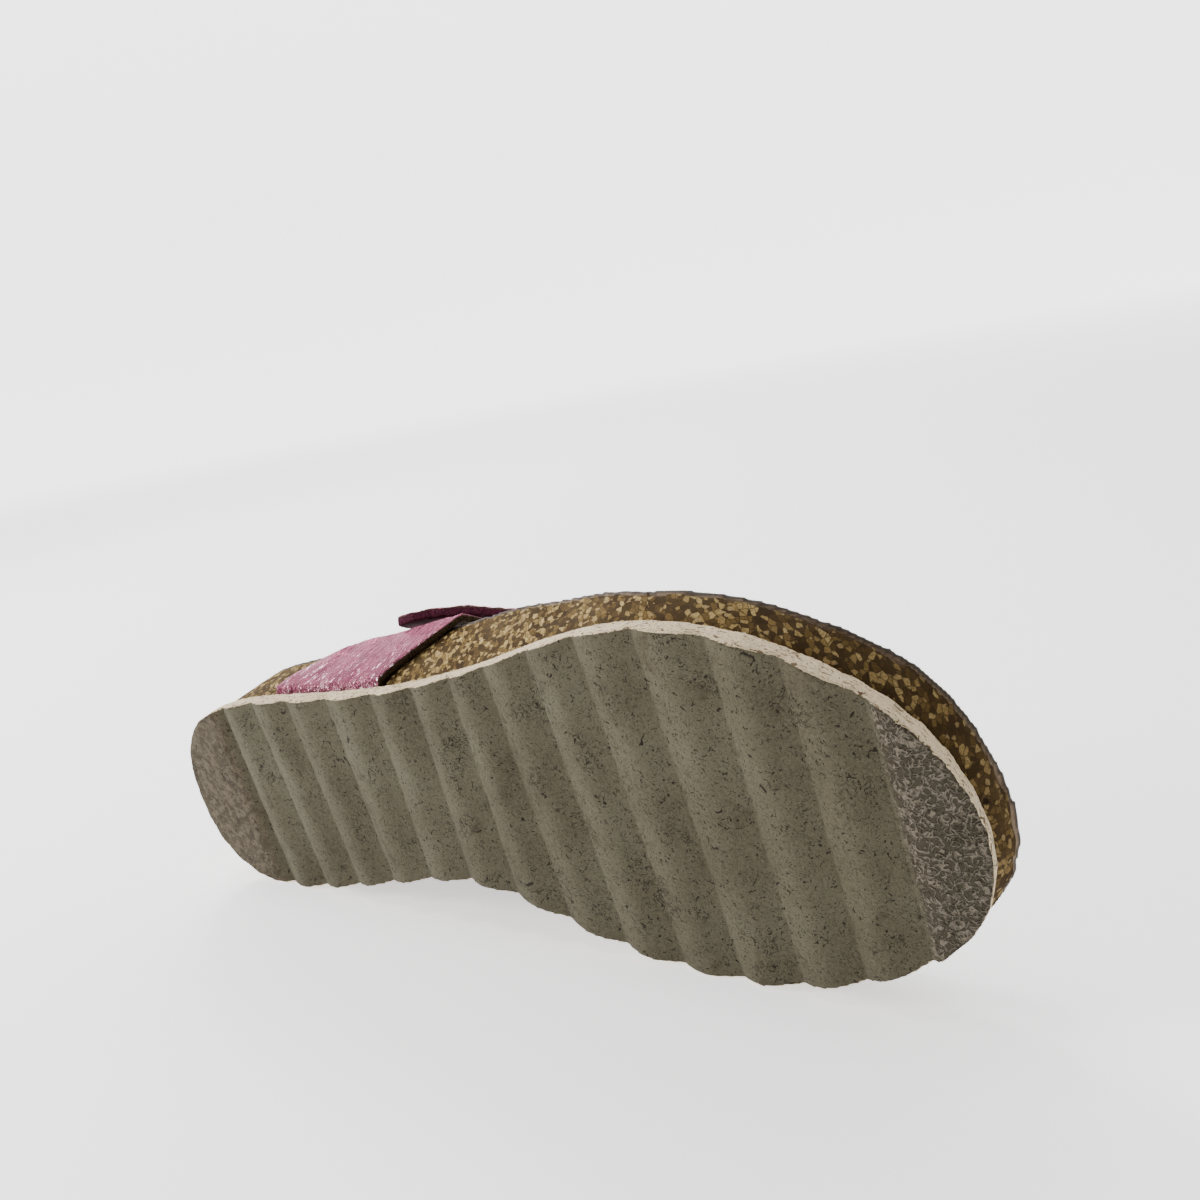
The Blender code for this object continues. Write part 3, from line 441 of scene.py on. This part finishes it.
def underside(x, y):
    # depth of the ripples, and the rise of the toe, at places across the tread
    share = (y - sole["lateralSide"]) / (sole["medialSide"] - sole["lateralSide"])
    across = zip(sole["lateralGrooves"], sole["medialGrooves"])
    grooves = [a + (b - a) * share for a, b in across]
    rippled = np.zeros(len(x))
    for start, end in zip(grooves, grooves[1:]):
        phase = np.clip((x - start) / (end - start), 0.0, 1.0)
        cut = 1.0 - np.sin(np.pi * phase ** sole["cuspLean"]) ** sole["cuspPower"]
        wave = 0.5 + 0.5 * np.cos(2.0 * np.pi * (phase + sole["waveShift"]))
        depth = sole["rippleDepth"] * (cut * (1.0 - sole["waveShare"]) + wave * sole["waveShare"])
        rippled = np.where((x >= start) & (x < end), depth, rippled)
    ends = ((grooves[0] - x, sole["heelFade"]), (x - grooves[-1], sole["toeFade"]))
    for gap, reach in ends:
        fade = sole["rippleDepth"] * np.clip(1.0 - gap / reach, 0.0, 1.0) ** 2
        rippled = np.where(gap > 0, fade, rippled)
    toeShare = np.clip((x - sole["springStart"]) / (sole["length"] - sole["springStart"]), 0, 1)
    endShare = np.clip((x - sole["rockerStart"]) / (sole["length"] - sole["rockerStart"]), 0, 1)
    rise = sole["spring"] * toeShare ** 2 + sole["rocker"] * endShare ** sole["rockerPower"]
    return rippled, rise


def treadColour(tree, place, broad, fine, heel):
    # grey-green rubber, browner and blotched over the heel end
    tones, grain, masks, share = sole["tones"], sole["grain"], sole["masks"], sole["share"]
    colour = ramp(tree, broad, tones["tread"])
    colour = mixed(tree, ranged(tree, fine, *masks["dust"]), colour, tones["dust"])
    smudge = noise(tree, stretched(tree, place, sole["smudgeStretch"]), *grain["smudge"])
    colour = mixed(tree, ranged(tree, smudge, *masks["smudge"]), colour, tones["smudge"])
    # dirt and painted shade darken the bottoms of the ripple grooves
    groove = ranged(tree, markOf(tree, "groove"), *masks["groove"])
    colour = mixed(tree, groove, colour, tones["groove"])
    colour = mixed(tree, times(tree, heel, share["heel"]), colour, tones["heel"])
    blotch = ranged(tree, noise(tree, place, *grain["blotch"]), *masks["blotch"])
    heelTone = mixed(tree, blotch, tones["heelDark"], tones["heelPale"])
    return mixed(tree, times(tree, heel, share["heelBlotch"]), colour, heelTone)


def treadFlecks(tree, place):
    # torn bits of three sizes, and patches of curled fibre
    grain, masks, flecks = sole["grain"], sole["masks"], sole["flecks"]
    dust = times(tree, tornFlecks(tree, place, *flecks["dust"]), sole["share"]["dust"])
    small = tornFlecks(tree, place, *flecks["small"])
    medium = tornFlecks(tree, place, *flecks["medium"])
    patch = ranged(tree, noise(tree, place, *grain["patch"]), *masks["patch"])
    curl = fromMiddle(tree, noise(tree, place, *grain["curl"]))
    fibre = times(tree, patch, ranged(tree, curl, *masks["curl"]))
    return larger(tree, dust, larger(tree, small, larger(tree, medium, fibre)))


def wallColour(tree, place, fine):
    # the cream side wall, with brown dashes and dirt
    tones, masks = sole["tones"], sole["masks"]
    colour = mixed(tree, ranged(tree, fine, *masks["cream"]), tones["cream"], tones["creamPale"])
    dash = tornFlecks(tree, stretched(tree, place, sole["dashStretch"]), *sole["flecks"]["dash"])
    colour = mixed(tree, times(tree, dash, sole["share"]["dash"]), colour, tones["dash"])
    dirt = ranged(tree, noise(tree, place, *sole["grain"]["creamDirt"]), *masks["creamDirt"])
    return mixed(tree, dirt, colour, tones["creamDirt"])


def soleMaterial():
    material, tree, shader = newMaterial("foamedRubber")
    tones, grain, masks, rise = sole["tones"], sole["grain"], sole["masks"], sole["height"]
    place = wornPlace(tree)
    along = axisOf(tree, place, 0)
    broad = noise(tree, place, *grain["broad"])
    fine = noise(tree, place, *grain["fine"])
    heel = ranged(tree, plus(tree, along, times(tree, broad, sole["heelWander"])), *masks["heel"])
    slant = times(tree, axisOf(tree, place, 1), sole["toeSlant"])
    toe = ranged(tree, minus(tree, along, slant), *masks["toe"])
    flecks = treadFlecks(tree, place)
    tread = treadColour(tree, place, broad, fine, heel)
    tread = mixed(tree, times(tree, flecks, sole["share"]["flecks"]), tread, tones["fleck"])
    wall = plus(tree, markOf(tree, "wall"), times(tree, fine, sole["wallFuzz"]))
    side = ranged(tree, wall, *masks["side"])
    colour = mixed(tree, side, tread, wallColour(tree, place, fine))
    # worm-like ridges on the toe end, with a painted highlight on each ridge and painted shade in
    # the hollows between them
    worm = fromMiddle(tree, noise(tree, place, *grain["worm"]))
    ridgeAndHighlight = ranged(tree, worm, *masks["ridgeAndHighlight"])
    hollowShade = ranged(tree, ridgeAndHighlight, *masks["hollowShade"])
    toeTread = times(tree, toe, minus(tree, 1.0, side))
    colour = mixed(tree, times(tree, toeTread, ridgeAndHighlight), colour, tones["ridgeAndHighlight"])
    colour = mixed(tree, times(tree, toeTread, hollowShade), colour, tones["hollowShade"])
    tree.links.new(colour, shader.inputs["Base Color"])
    wrinkle = noise(tree, wobbled(tree, place, *sole["wrinkleWobble"]), *grain["wrinkle"])
    pores = noise(tree, place, *grain["pores"])
    height = plus(tree, times(tree, pores, rise["pores"]), times(tree, fine, rise["fine"]))
    height = minus(tree, height, times(tree, flecks, rise["flecks"]))
    height = plus(tree, height, times(tree, times(tree, heel, wrinkle), rise["heel"]))
    height = plus(tree, height, times(tree, times(tree, toeTread, ridgeAndHighlight), rise["toe"]))
    bump(tree, shader, height, *sole["bump"])
    shader.inputs["Roughness"].default_value = sole["roughness"]
    shader.inputs["Specular IOR Level"].default_value = sole["gloss"]
    return material


def makeOutsole():
    piece = denseCopy("outsole", "rippledOutsole", sole["voxel"], sole["smoothing"])
    spots = getWorn(piece)
    ways = wornNormals(piece)
    rippled, rise = underside(spots[:, 0], spots[:, 1])
    facingDown = softStep(-ways[:, 2], *sole["downward"])
    uneven = sole["uneven"] * unevenness(spots, *sole["unevenWaves"])
    tread = rippled + rise + np.abs(uneven)
    spots[:, 2] = spots[:, 2] * (1 - facingDown) + tread * facingDown
    sideways = softStep(np.hypot(ways[:, 0], ways[:, 1]), *sole["sideways"])
    sideUneven = sole["sideUneven"] * waves(spots, sole["sideWave"]) * sideways
    spots[:, :2] += ways[:, :2] * sideUneven[:, None]
    setWorn(piece, spots)
    addMark(piece, "wall", 1.0 - softStep(-ways[:, 2], *sole["treadFacing"]))
    # how deep each point lies in its ripple, the mask for dirt and painted shade in the grooves
    addMark(piece, "groove", np.clip(rippled / sole["rippleDepth"], 0.0, 1.0))
    finishPiece(piece, [soleMaterial()], "outsole")


# The cork footbed and its lining

cork = {
    "voxel": 0.95, "smoothing": 3, "uneven": 0.08, "unevenWaves": (2.4, 1.3, 0.5, 11.0),
    "unevenLimit": 0.14,
    "grainTurn": -50.0, "grainScale": (0.46, 0.70, 0.86), "grainWobble": (0.9, 0.6),
    "gloss": 0.03, "roughness": (0.2, 0.8, 0.7, 0.9), "bump": (0.0005, 0.7),
    "tones": {
        "granules": ((0.0, (0.030, 0.017, 0.006)), (0.30, (0.055, 0.032, 0.011)),
                     (0.46, (0.092, 0.055, 0.017)), (0.62, (0.170, 0.107, 0.034)),
                     (0.78, (0.32, 0.215, 0.078)), (1.0, (0.50, 0.36, 0.150))),
        "inside": (0.045, 0.027, 0.011), "seam": (0.026, 0.016, 0.007),
        "haze": (0.115, 0.078, 0.036), "chipDark": (0.22, 0.145, 0.055),
        "chipPale": (0.43, 0.315, 0.155), "bark": (0.016, 0.009, 0.004),
        "pit": (0.012, 0.008, 0.005), "toeward": (0.032, 0.020, 0.010),
    },
    "grain": {"inside": (1.9, 5.0, 0.7), "haze": (0.05, 3.0)},
    "masks": {"seam": (0.02, 0.10, 0.8, 0.0), "inside": (0.42, 0.65, 0.0, 0.5),
              "haze": (0.4, 0.65, 0.0, 0.25), "toeward": (150.0, 245.0, 0.0, 0.4)},
    "chips": (1.5, 0.55, 0.25), "chipStretch": (0.8, 0.9, 1.1), "pits": (8.0, 0.15, 0.6),
    "bark": (1.2, 0.66), "share": {"chips": 0.85, "bark": 0.8},
    "height": {"granules": 0.35, "inside": 0.8, "pits": 1.5},
}


def corkMaterial():
    material, tree, shader = newMaterial("pressedCork")
    tones, grain, masks, rise = cork["tones"], cork["grain"], cork["masks"], cork["height"]
    place = wornPlace(tree)
    crooked = wobbled(tree, place, *cork["grainWobble"])
    crooked = stretched(tree, crooked, (1, 1, 1), (0, cork["grainTurn"], 0))
    crooked = stretched(tree, crooked, cork["grainScale"])
    pick = axisOf(tree, cells(tree, crooked, 1.0).outputs["Color"], 0)
    border = cells(tree, crooked, 1.0, "DISTANCE_TO_EDGE").outputs["Distance"]
    colour = ramp(tree, pick, tones["granules"])
    inside = noise(tree, place, *grain["inside"])
    colour = mixed(tree, ranged(tree, inside, *masks["inside"]), colour, tones["inside"])
    colour = mixed(tree, ranged(tree, border, *masks["seam"]), colour, tones["seam"])
    haze = ranged(tree, noise(tree, place, *grain["haze"]), *masks["haze"])
    colour = mixed(tree, haze, colour, tones["haze"])
    chips = specks(tree, stretched(tree, place, cork["chipStretch"]), *cork["chips"])
    chipTone = mixed(tree, inside, tones["chipDark"], tones["chipPale"])
    colour = mixed(tree, times(tree, chips, cork["share"]["chips"]), colour, chipTone)
    bark = times(tree, tornFlecks(tree, place, *cork["bark"]), cork["share"]["bark"])
    colour = mixed(tree, bark, colour, tones["bark"])
    pits = specks(tree, place, *cork["pits"])
    colour = mixed(tree, pits, colour, tones["pit"])
    toeward = ranged(tree, axisOf(tree, place, 0), *masks["toeward"])
    colour = mixed(tree, toeward, colour, tones["toeward"])
    tree.links.new(colour, shader.inputs["Base Color"])
    height = plus(tree, times(tree, pick, rise["granules"]), times(tree, inside, rise["inside"]))
    height = minus(tree, height, times(tree, pits, rise["pits"]))
    bump(tree, shader, height, *cork["bump"])
    tree.links.new(ranged(tree, inside, *cork["roughness"]), shader.inputs["Roughness"])
    shader.inputs["Specular IOR Level"].default_value = cork["gloss"]
    return material


def makeCork():
    piece = denseCopy("cork_footbed", "corkBody", cork["voxel"], cork["smoothing"])
    spots = getWorn(piece)
    ways = wornNormals(piece)
    uneven = cork["uneven"] * unevenness(spots, *cork["unevenWaves"])
    spots += ways * np.minimum(uneven, cork["unevenLimit"])[:, None]
    setWorn(piece, spots)
    finishPiece(piece, [corkMaterial()], "cork_footbed")


lining = {
    "voxel": 0.78, "smoothing": 3, "uneven": 0.03, "unevenWaves": (2.1, 1.1, 1.0, 5.0),
    "toeCentre": 195.0, "heelCentre": 45.0, "edgeFacing": (0.35, 0.7),
    "tones": {
        "suede": ((0.3, (0.225, 0.155, 0.098)), (0.55, (0.30, 0.215, 0.140)),
                  (0.75, (0.345, 0.255, 0.172))),
        "nap": (0.16, 0.105, 0.062), "cutEdge": (0.032, 0.020, 0.010),
    },
    "grain": {"nap": (1.6, 4.0, 0.7), "cloud": (0.035, 4.0, 0.6), "fibre": (4.5, 3.0, 0.7)},
    "napStretch": (0.5, 1.3, 1.3), "napMask": (0.35, 0.7, 0.0, 0.4), "bump": (0.0003, 0.6),
    "roughness": 0.95, "gloss": 0.2, "sheen": 0.35, "sheenRoughness": 0.5,
}


def liningMaterial():
    material, tree, shader = newMaterial("nappedLining")
    tones, grain = lining["tones"], lining["grain"]
    place = wornPlace(tree)
    nap = noise(tree, stretched(tree, place, lining["napStretch"]), *grain["nap"])
    colour = ramp(tree, noise(tree, place, *grain["cloud"]), tones["suede"])
    colour = mixed(tree, ranged(tree, nap, *lining["napMask"]), colour, tones["nap"])
    colour = mixed(tree, markOf(tree, "cutEdge"), colour, tones["cutEdge"])
    tree.links.new(colour, shader.inputs["Base Color"])
    fibre = noise(tree, place, *grain["fibre"])
    bump(tree, shader, plus(tree, nap, fibre), *lining["bump"])
    shader.inputs["Roughness"].default_value = lining["roughness"]
    shader.inputs["Specular IOR Level"].default_value = lining["gloss"]
    shader.inputs["Sheen Weight"].default_value = lining["sheen"]
    shader.inputs["Sheen Roughness"].default_value = lining["sheenRoughness"]
    return material


def makeLining():
    piece = denseCopy("insole", "footbedLining", lining["voxel"], lining["smoothing"])
    spots = getWorn(piece)
    ways = wornNormals(piece)
    uneven = lining["uneven"] * unevenness(spots, *lining["unevenWaves"])
    spots += ways * uneven[:, None]
    setWorn(piece, spots)
    # only the side that faces away from the foot's middle line is a cut edge
    centre = np.clip(spots[:, 0], lining["heelCentre"], lining["toeCentre"])
    out = spots[:, :2] - np.stack([centre, np.zeros(len(spots))], axis=1)
    out /= np.linalg.norm(out, axis=1)[:, None] + 0.001
    addMark(piece, "cutEdge", softStep((ways[:, :2] * out).sum(axis=1), *lining["edgeFacing"]))
    finishPiece(piece, [liningMaterial()], "insole")


# The straps: pink metallic leather outside, a felted dark backing inside

strap = {
    "voxel": 0.55, "smoothing": 6, "postVoxel": 0.4, "middle": (3.0, 24.0), "wrinkle": 0.32,
    "wrinkleWaves": (5.0, 2.0, 0.4, 9.0), "wrinkleSquash": (1.0, 1.0, 0.25),
    "wrinkleLimit": 0.1, "wrinkleFacing": (0.4, 0.9),
    "press": 1.2, "pressAt": 122.0, "pressReach": 9.0, "pressFrom": (32.0, 38.5),
    "pieces": (("side_strap", "outerStrap"), ("upper", "instepAndToeStrap")),
    "brownFelt": ((0.016, 0.010, 0.005), (0.085, 0.058, 0.030)),
    "wineFelt": ((0.022, 0.003, 0.009), (0.105, 0.018, 0.040)),
    "tones": {
        "deepPink": (0.180, 0.062, 0.088), "palePink": (0.262, 0.098, 0.134),
        # the crease line tone is painted shade along the creases
        "creaseLineShade": (0.20, 0.055, 0.090), "crack": (0.25, 0.08, 0.12), "glint": (0.92, 0.72, 0.77),
        "darkTan": (0.030, 0.020, 0.010), "paleTan": (0.090, 0.064, 0.036),
        "tint": (0.58, 0.38, 0.45),
    },
    "grain": {
        "crease": (1.0, 5.0, 0.62, 0.9), "fold": (1.0, 3.0, 0.5, 0.4),
        "worn": (0.10, 4.0, 0.6), "glint": (1.0, 3.0, 0.6, 0.3), "fuzz": (2.2, 3.0, 0.75),
    },
    "masks": {
        "creaseLineShade": (0.0, 0.035, 1.0, 0.0), "crack": (0.0, 0.10, 1.0, 0.0), "worn": (0.45, 0.65),
        "fold": (0.35, 0.65), "glint": (0.585, 0.65), "glintHeight": (11.0, 30.0, 1.0, 0.0),
        "felt": (0.35, 0.65), "edge": (0.42, 0.54), "skin": (0.52, 0.66),
        "gloss": (0.3, 0.7, 0.16, 0.28),
    },
    "share": {"creaseLineShade": 0.38, "crack": 0.30, "edgeFuzz": 0.2, "metal": 0.9, "crackRough": 0.1},
    "height": {"crease": 1.6, "fold": 2.2, "creaseLineShade": 0.45, "crack": 0.10, "felt": 0.3, "skin": 0.28},
    "creaseTurn": 4.0, "creaseStretch": (0.62, 0.35, 0.09), "foldStretch": (0.35, 0.5, 0.7),
    "glintStretch": (2.6, 3.0, 2.2), "crackWobble": (0.9, 0.9), "crackScale": 0.8,
    "feltRoughness": 0.95, "gloss": 0.2, "bump": (0.0007, 0.8),
}


def strapMaterial(name, darkFelt, paleFelt):
    material, tree, shader = newMaterial(name)
    tones, grain, masks, share = strap["tones"], strap["grain"], strap["masks"], strap["share"]
    rise = strap["height"]
    place = wornPlace(tree)
    outer = markOf(tree, "outerFace")
    # creases, folds and glints run up the strap
    upStrap = stretched(tree, place, (1, 1, 1), (0, strap["creaseTurn"], 0))
    upStrap = stretched(tree, upStrap, strap["creaseStretch"])
    crease = noise(tree, upStrap, *grain["crease"])
    fold = noise(tree, stretched(tree, upStrap, strap["foldStretch"]), *grain["fold"])
    creaseLineShade = ranged(tree, fromMiddle(tree, crease), *masks["creaseLineShade"])
    crooked = wobbled(tree, place, *strap["crackWobble"])
    border = cells(tree, crooked, strap["crackScale"], "DISTANCE_TO_EDGE").outputs["Distance"]
    crack = ranged(tree, border, *masks["crack"])
    worn = ranged(tree, noise(tree, place, *grain["worn"]), *masks["worn"])
    pink = mixed(tree, ranged(tree, fold, *masks["fold"]), tones["deepPink"], tones["palePink"])
    # painted shade along the thin crease lines
    pink = mixed(tree, times(tree, creaseLineShade, share["creaseLineShade"]), pink, tones["creaseLineShade"])
    wornCrack = times(tree, times(tree, crack, worn), share["crack"])
    pink = mixed(tree, wornCrack, pink, tones["crack"])
    glint = noise(tree, stretched(tree, upStrap, strap["glintStretch"]), *grain["glint"])
    low = ranged(tree, axisOf(tree, place, 2), *masks["glintHeight"])
    glint = times(tree, ranged(tree, glint, *masks["glint"]), low)
    pink = mixed(tree, glint, pink, tones["glint"])
    # the cut edge and the felt behind it
    fuzz = noise(tree, place, *grain["fuzz"])
    rawTan = mixed(tree, fuzz, tones["darkTan"], tones["paleTan"])
    felt = mixed(tree, ranged(tree, fuzz, *masks["felt"]), darkFelt, paleFelt)
    outward = plus(tree, outer, times(tree, fuzz, share["edgeFuzz"]))
    edge = mixed(tree, ranged(tree, outward, *masks["edge"]), felt, rawTan)
    skin = ranged(tree, outer, *masks["skin"])
    tree.links.new(mixed(tree, skin, edge, pink), shader.inputs["Base Color"])
    tree.links.new(times(tree, skin, share["metal"]), shader.inputs["Metallic"])
    gloss = ranged(tree, fold, *masks["gloss"])
    gloss = plus(tree, gloss, times(tree, crack, share["crackRough"]))
    rough = tree.nodes.new("ShaderNodeMix")
    tree.links.new(skin, rough.inputs["Factor"])
    rough.inputs[2].default_value = strap["feltRoughness"]
    tree.links.new(gloss, rough.inputs[3])
    tree.links.new(rough.outputs[0], shader.inputs["Roughness"])
    shader.inputs["Specular IOR Level"].default_value = strap["gloss"]
    shader.inputs["Specular Tint"].default_value = (*tones["tint"], 1.0)
    height = plus(tree, times(tree, crease, rise["crease"]), times(tree, fold, rise["fold"]))
    height = minus(tree, height, times(tree, creaseLineShade, rise["creaseLineShade"]))
    height = minus(tree, height, times(tree, crack, rise["crack"]))
    nap = minus(tree, rise["felt"], times(tree, skin, rise["skin"]))
    bump(tree, shader, plus(tree, height, times(tree, fuzz, nap)), *strap["bump"])
    return material


def makeStraps():
    brown = strapMaterial("pinkLeatherBrownFelt", *strap["brownFelt"])
    wine = strapMaterial("pinkLeatherWineFelt", *strap["wineFelt"])
    for (node, name), leather in zip(strap["pieces"], (brown, wine)):
        piece = denseCopy(node, name, strap["voxel"], strap["smoothing"])
        spots = getWorn(piece)
        ways = wornNormals(piece)
        side, height = strap["middle"]
        out = spots[:, 1:] - np.array([side, height])
        out /= np.linalg.norm(out, axis=1)[:, None]
        facing = (ways[:, 1:] * out).sum(axis=1)
        addMark(piece, "outerFace", facing)
        turned = spots * np.array(strap["wrinkleSquash"])
        folds = strap["wrinkle"] * unevenness(turned, *strap["wrinkleWaves"])
        folds = np.minimum(folds, strap["wrinkleLimit"])
        spots += ways * (folds * softStep(facing, *strap["wrinkleFacing"]))[:, None]
        if node == "upper":
            # the band's crest over the buckle stays behind the cork's rim
            near = np.exp(-((spots[:, 0] - strap["pressAt"]) / strap["pressReach"]) ** 2)
            spots[:, 1] += strap["press"] * near * softStep(-spots[:, 1], *strap["pressFrom"])
        setWorn(piece, spots)
        finishPiece(piece, [leather], node)
    post = denseCopy("toe_post", "wrappedToePost", strap["postVoxel"], strap["smoothing"])
    addMark(post, "outerFace", np.ones(len(post.data.vertices)))
    finishPiece(post, [wine], "toe_post")


# The buckle

buckle = {
    "voxel": 0.22, "smoothing": 5,
    "darkNickel": (0.62, 0.60, 0.57), "paleNickel": (0.74, 0.73, 0.71),
    "haze": (0.9, 5.0, 0.6), "roughness": (0.3, 0.7, 0.18, 0.36),
    "pieces": (("buckle_frame", "wireFrame"), ("buckle_prong", "wireProng")),
}


def metalMaterial():
    material, tree, shader = newMaterial("nickelWire")
    haze = noise(tree, wornPlace(tree), *buckle["haze"])
    colour = mixed(tree, haze, buckle["darkNickel"], buckle["paleNickel"])
    tree.links.new(colour, shader.inputs["Base Color"])
    tree.links.new(ranged(tree, haze, *buckle["roughness"]), shader.inputs["Roughness"])
    shader.inputs["Metallic"].default_value = 1.0
    return material


def makeBuckle():
    metal = metalMaterial()
    for node, name in buckle["pieces"]:
        piece = denseCopy(node, name, buckle["voxel"], buckle["smoothing"])
        finishPiece(piece, [metal], node)


# Floor, light and camera

camera = {
    "place": (317.18, -128.0, -177.27), "right": (0.80136, 0.26442, 0.53657),
    "forward": (-0.59701, 0.29726, 0.74513), "lens": 34.65, "sensor": 36.0, "nearest": 0.01,
}


def makeCamera():
    turn = wornToWorld.to_3x3()
    right = (turn @ Vector(camera["right"])).normalized()
    forward = (turn @ Vector(camera["forward"])).normalized()
    up = right.cross(forward).normalized()
    right = forward.cross(up)
    body = bpy.data.cameras.new("photoCamera")
    body.lens = camera["lens"]
    body.sensor_width = camera["sensor"]
    body.clip_start = camera["nearest"]
    seen = bpy.data.objects.new("photoCamera", body)
    bpy.context.scene.collection.objects.link(seen)
    pose = Matrix((right, up, -forward)).transposed().to_4x4()
    pose.translation = wornToWorld @ (Vector(camera["place"]) * 0.001)
    seen.matrix_world = pose
    bpy.context.scene.camera = seen
    print("camera stands at the photograph's angle")


stageLook = {
    "colour": (0.92, 0.92, 0.92), "roughness": 0.9, "glow": (0.95, 2.4), "glowReach": (0.5, 3.0),
    "worldStrength": 0.38, "skySeen": 1.6, "width": 16.0, "lightAim": (0, 0, 0.05),
    "away": (-0.61, 0.79), "flat": (-5.0, 2.2), "curve": 2.0, "wall": 7.0,
    "key": ((-1.05, -0.52, 0.36), 0.30, 16.0), "top": ((-0.20, -0.10, 0.95), 0.35, 5.0),
    "back": ((-0.85, 0.68, 0.85), 0.28, 8.0),
}


def areaLight(name, place, target, size, power):
    lamp = bpy.data.lights.new(name, "AREA")
    lamp.shape = "SQUARE"
    lamp.size = size
    lamp.energy = power
    held = bpy.data.objects.new(name, lamp)
    bpy.context.scene.collection.objects.link(held)
    held.location = place
    held.rotation_euler = (Vector(target) - Vector(place)).to_track_quat("-Z", "Y").to_euler()


def backdropMesh():
    # a pale floor that curves up far behind the sandal
    near, far = stageLook["flat"]
    curve = stageLook["curve"]
    turns = [math.radians(6.0 * k) for k in range(1, 16)]
    profile = [(near, 0.0), (far, 0.0)]
    profile += [(far + curve * math.sin(t), curve * (1 - math.cos(t))) for t in turns]
    profile.append((far + curve, stageLook["wall"]))
    ax, ay = stageLook["away"]
    half = stageLook["width"] / 2
    corners = [(ax * d + ay * w, ay * d - ax * w, h) for d, h in profile for w in (-half, half)]
    faces = [(2 * k, 2 * k + 1, 2 * k + 3, 2 * k + 2) for k in range(len(profile) - 1)]
    mesh = bpy.data.meshes.new("paleFloor")
    mesh.from_pydata(corners, [], faces)
    return mesh


def floorMaterial():
    # it glows more with distance, so that the backdrop stays as pale as the floor
    material, tree, shader = newMaterial("paleFloor")
    shader.inputs["Base Color"].default_value = (*stageLook["colour"], 1.0)
    shader.inputs["Roughness"].default_value = stageLook["roughness"]
    where = tree.nodes.new("ShaderNodeTexCoord").outputs["Object"]
    distant = ranged(tree, vectorLength(tree, where), *stageLook["glowReach"])
    near, wall = stageLook["glow"]
    shade = mixed(tree, distant, (near / wall,) * 3, (1.0, 1.0, 1.0))
    tree.links.new(shade, shader.inputs["Emission Color"])
    shader.inputs["Emission Strength"].default_value = wall
    return material


def makeSky():
    # the camera sees a brighter sky than the one that lights the sandal
    world = bpy.context.scene.world or bpy.data.worlds.new("paleWorld")
    bpy.context.scene.world = world
    world.use_nodes = True
    tree = world.node_tree
    sky = tree.nodes["Background"]
    sky.inputs["Color"].default_value = (1.0, 1.0, 1.0, 1.0)
    seen = tree.nodes.new("ShaderNodeLightPath").outputs["Is Camera Ray"]
    strength = plus(tree, times(tree, seen, stageLook["skySeen"]), stageLook["worldStrength"])
    tree.links.new(strength, sky.inputs["Strength"])


def makeStage():
    mesh = backdropMesh()
    floor = bpy.data.objects.new("paleFloor", mesh)
    bpy.context.scene.collection.objects.link(floor)
    smoothAll(floor)
    mesh.materials.append(floorMaterial())
    makeSky()
    for name in ("key", "top", "back"):
        place, size, power = stageLook[name]
        areaLight(name + "Light", place, stageLook["lightAim"], size, power)
    print("floor, sky and three soft lights are in place")


makeOutsole()
makeCork()
makeLining()
makeStraps()
makeBuckle()
makeStage()
makeCamera()
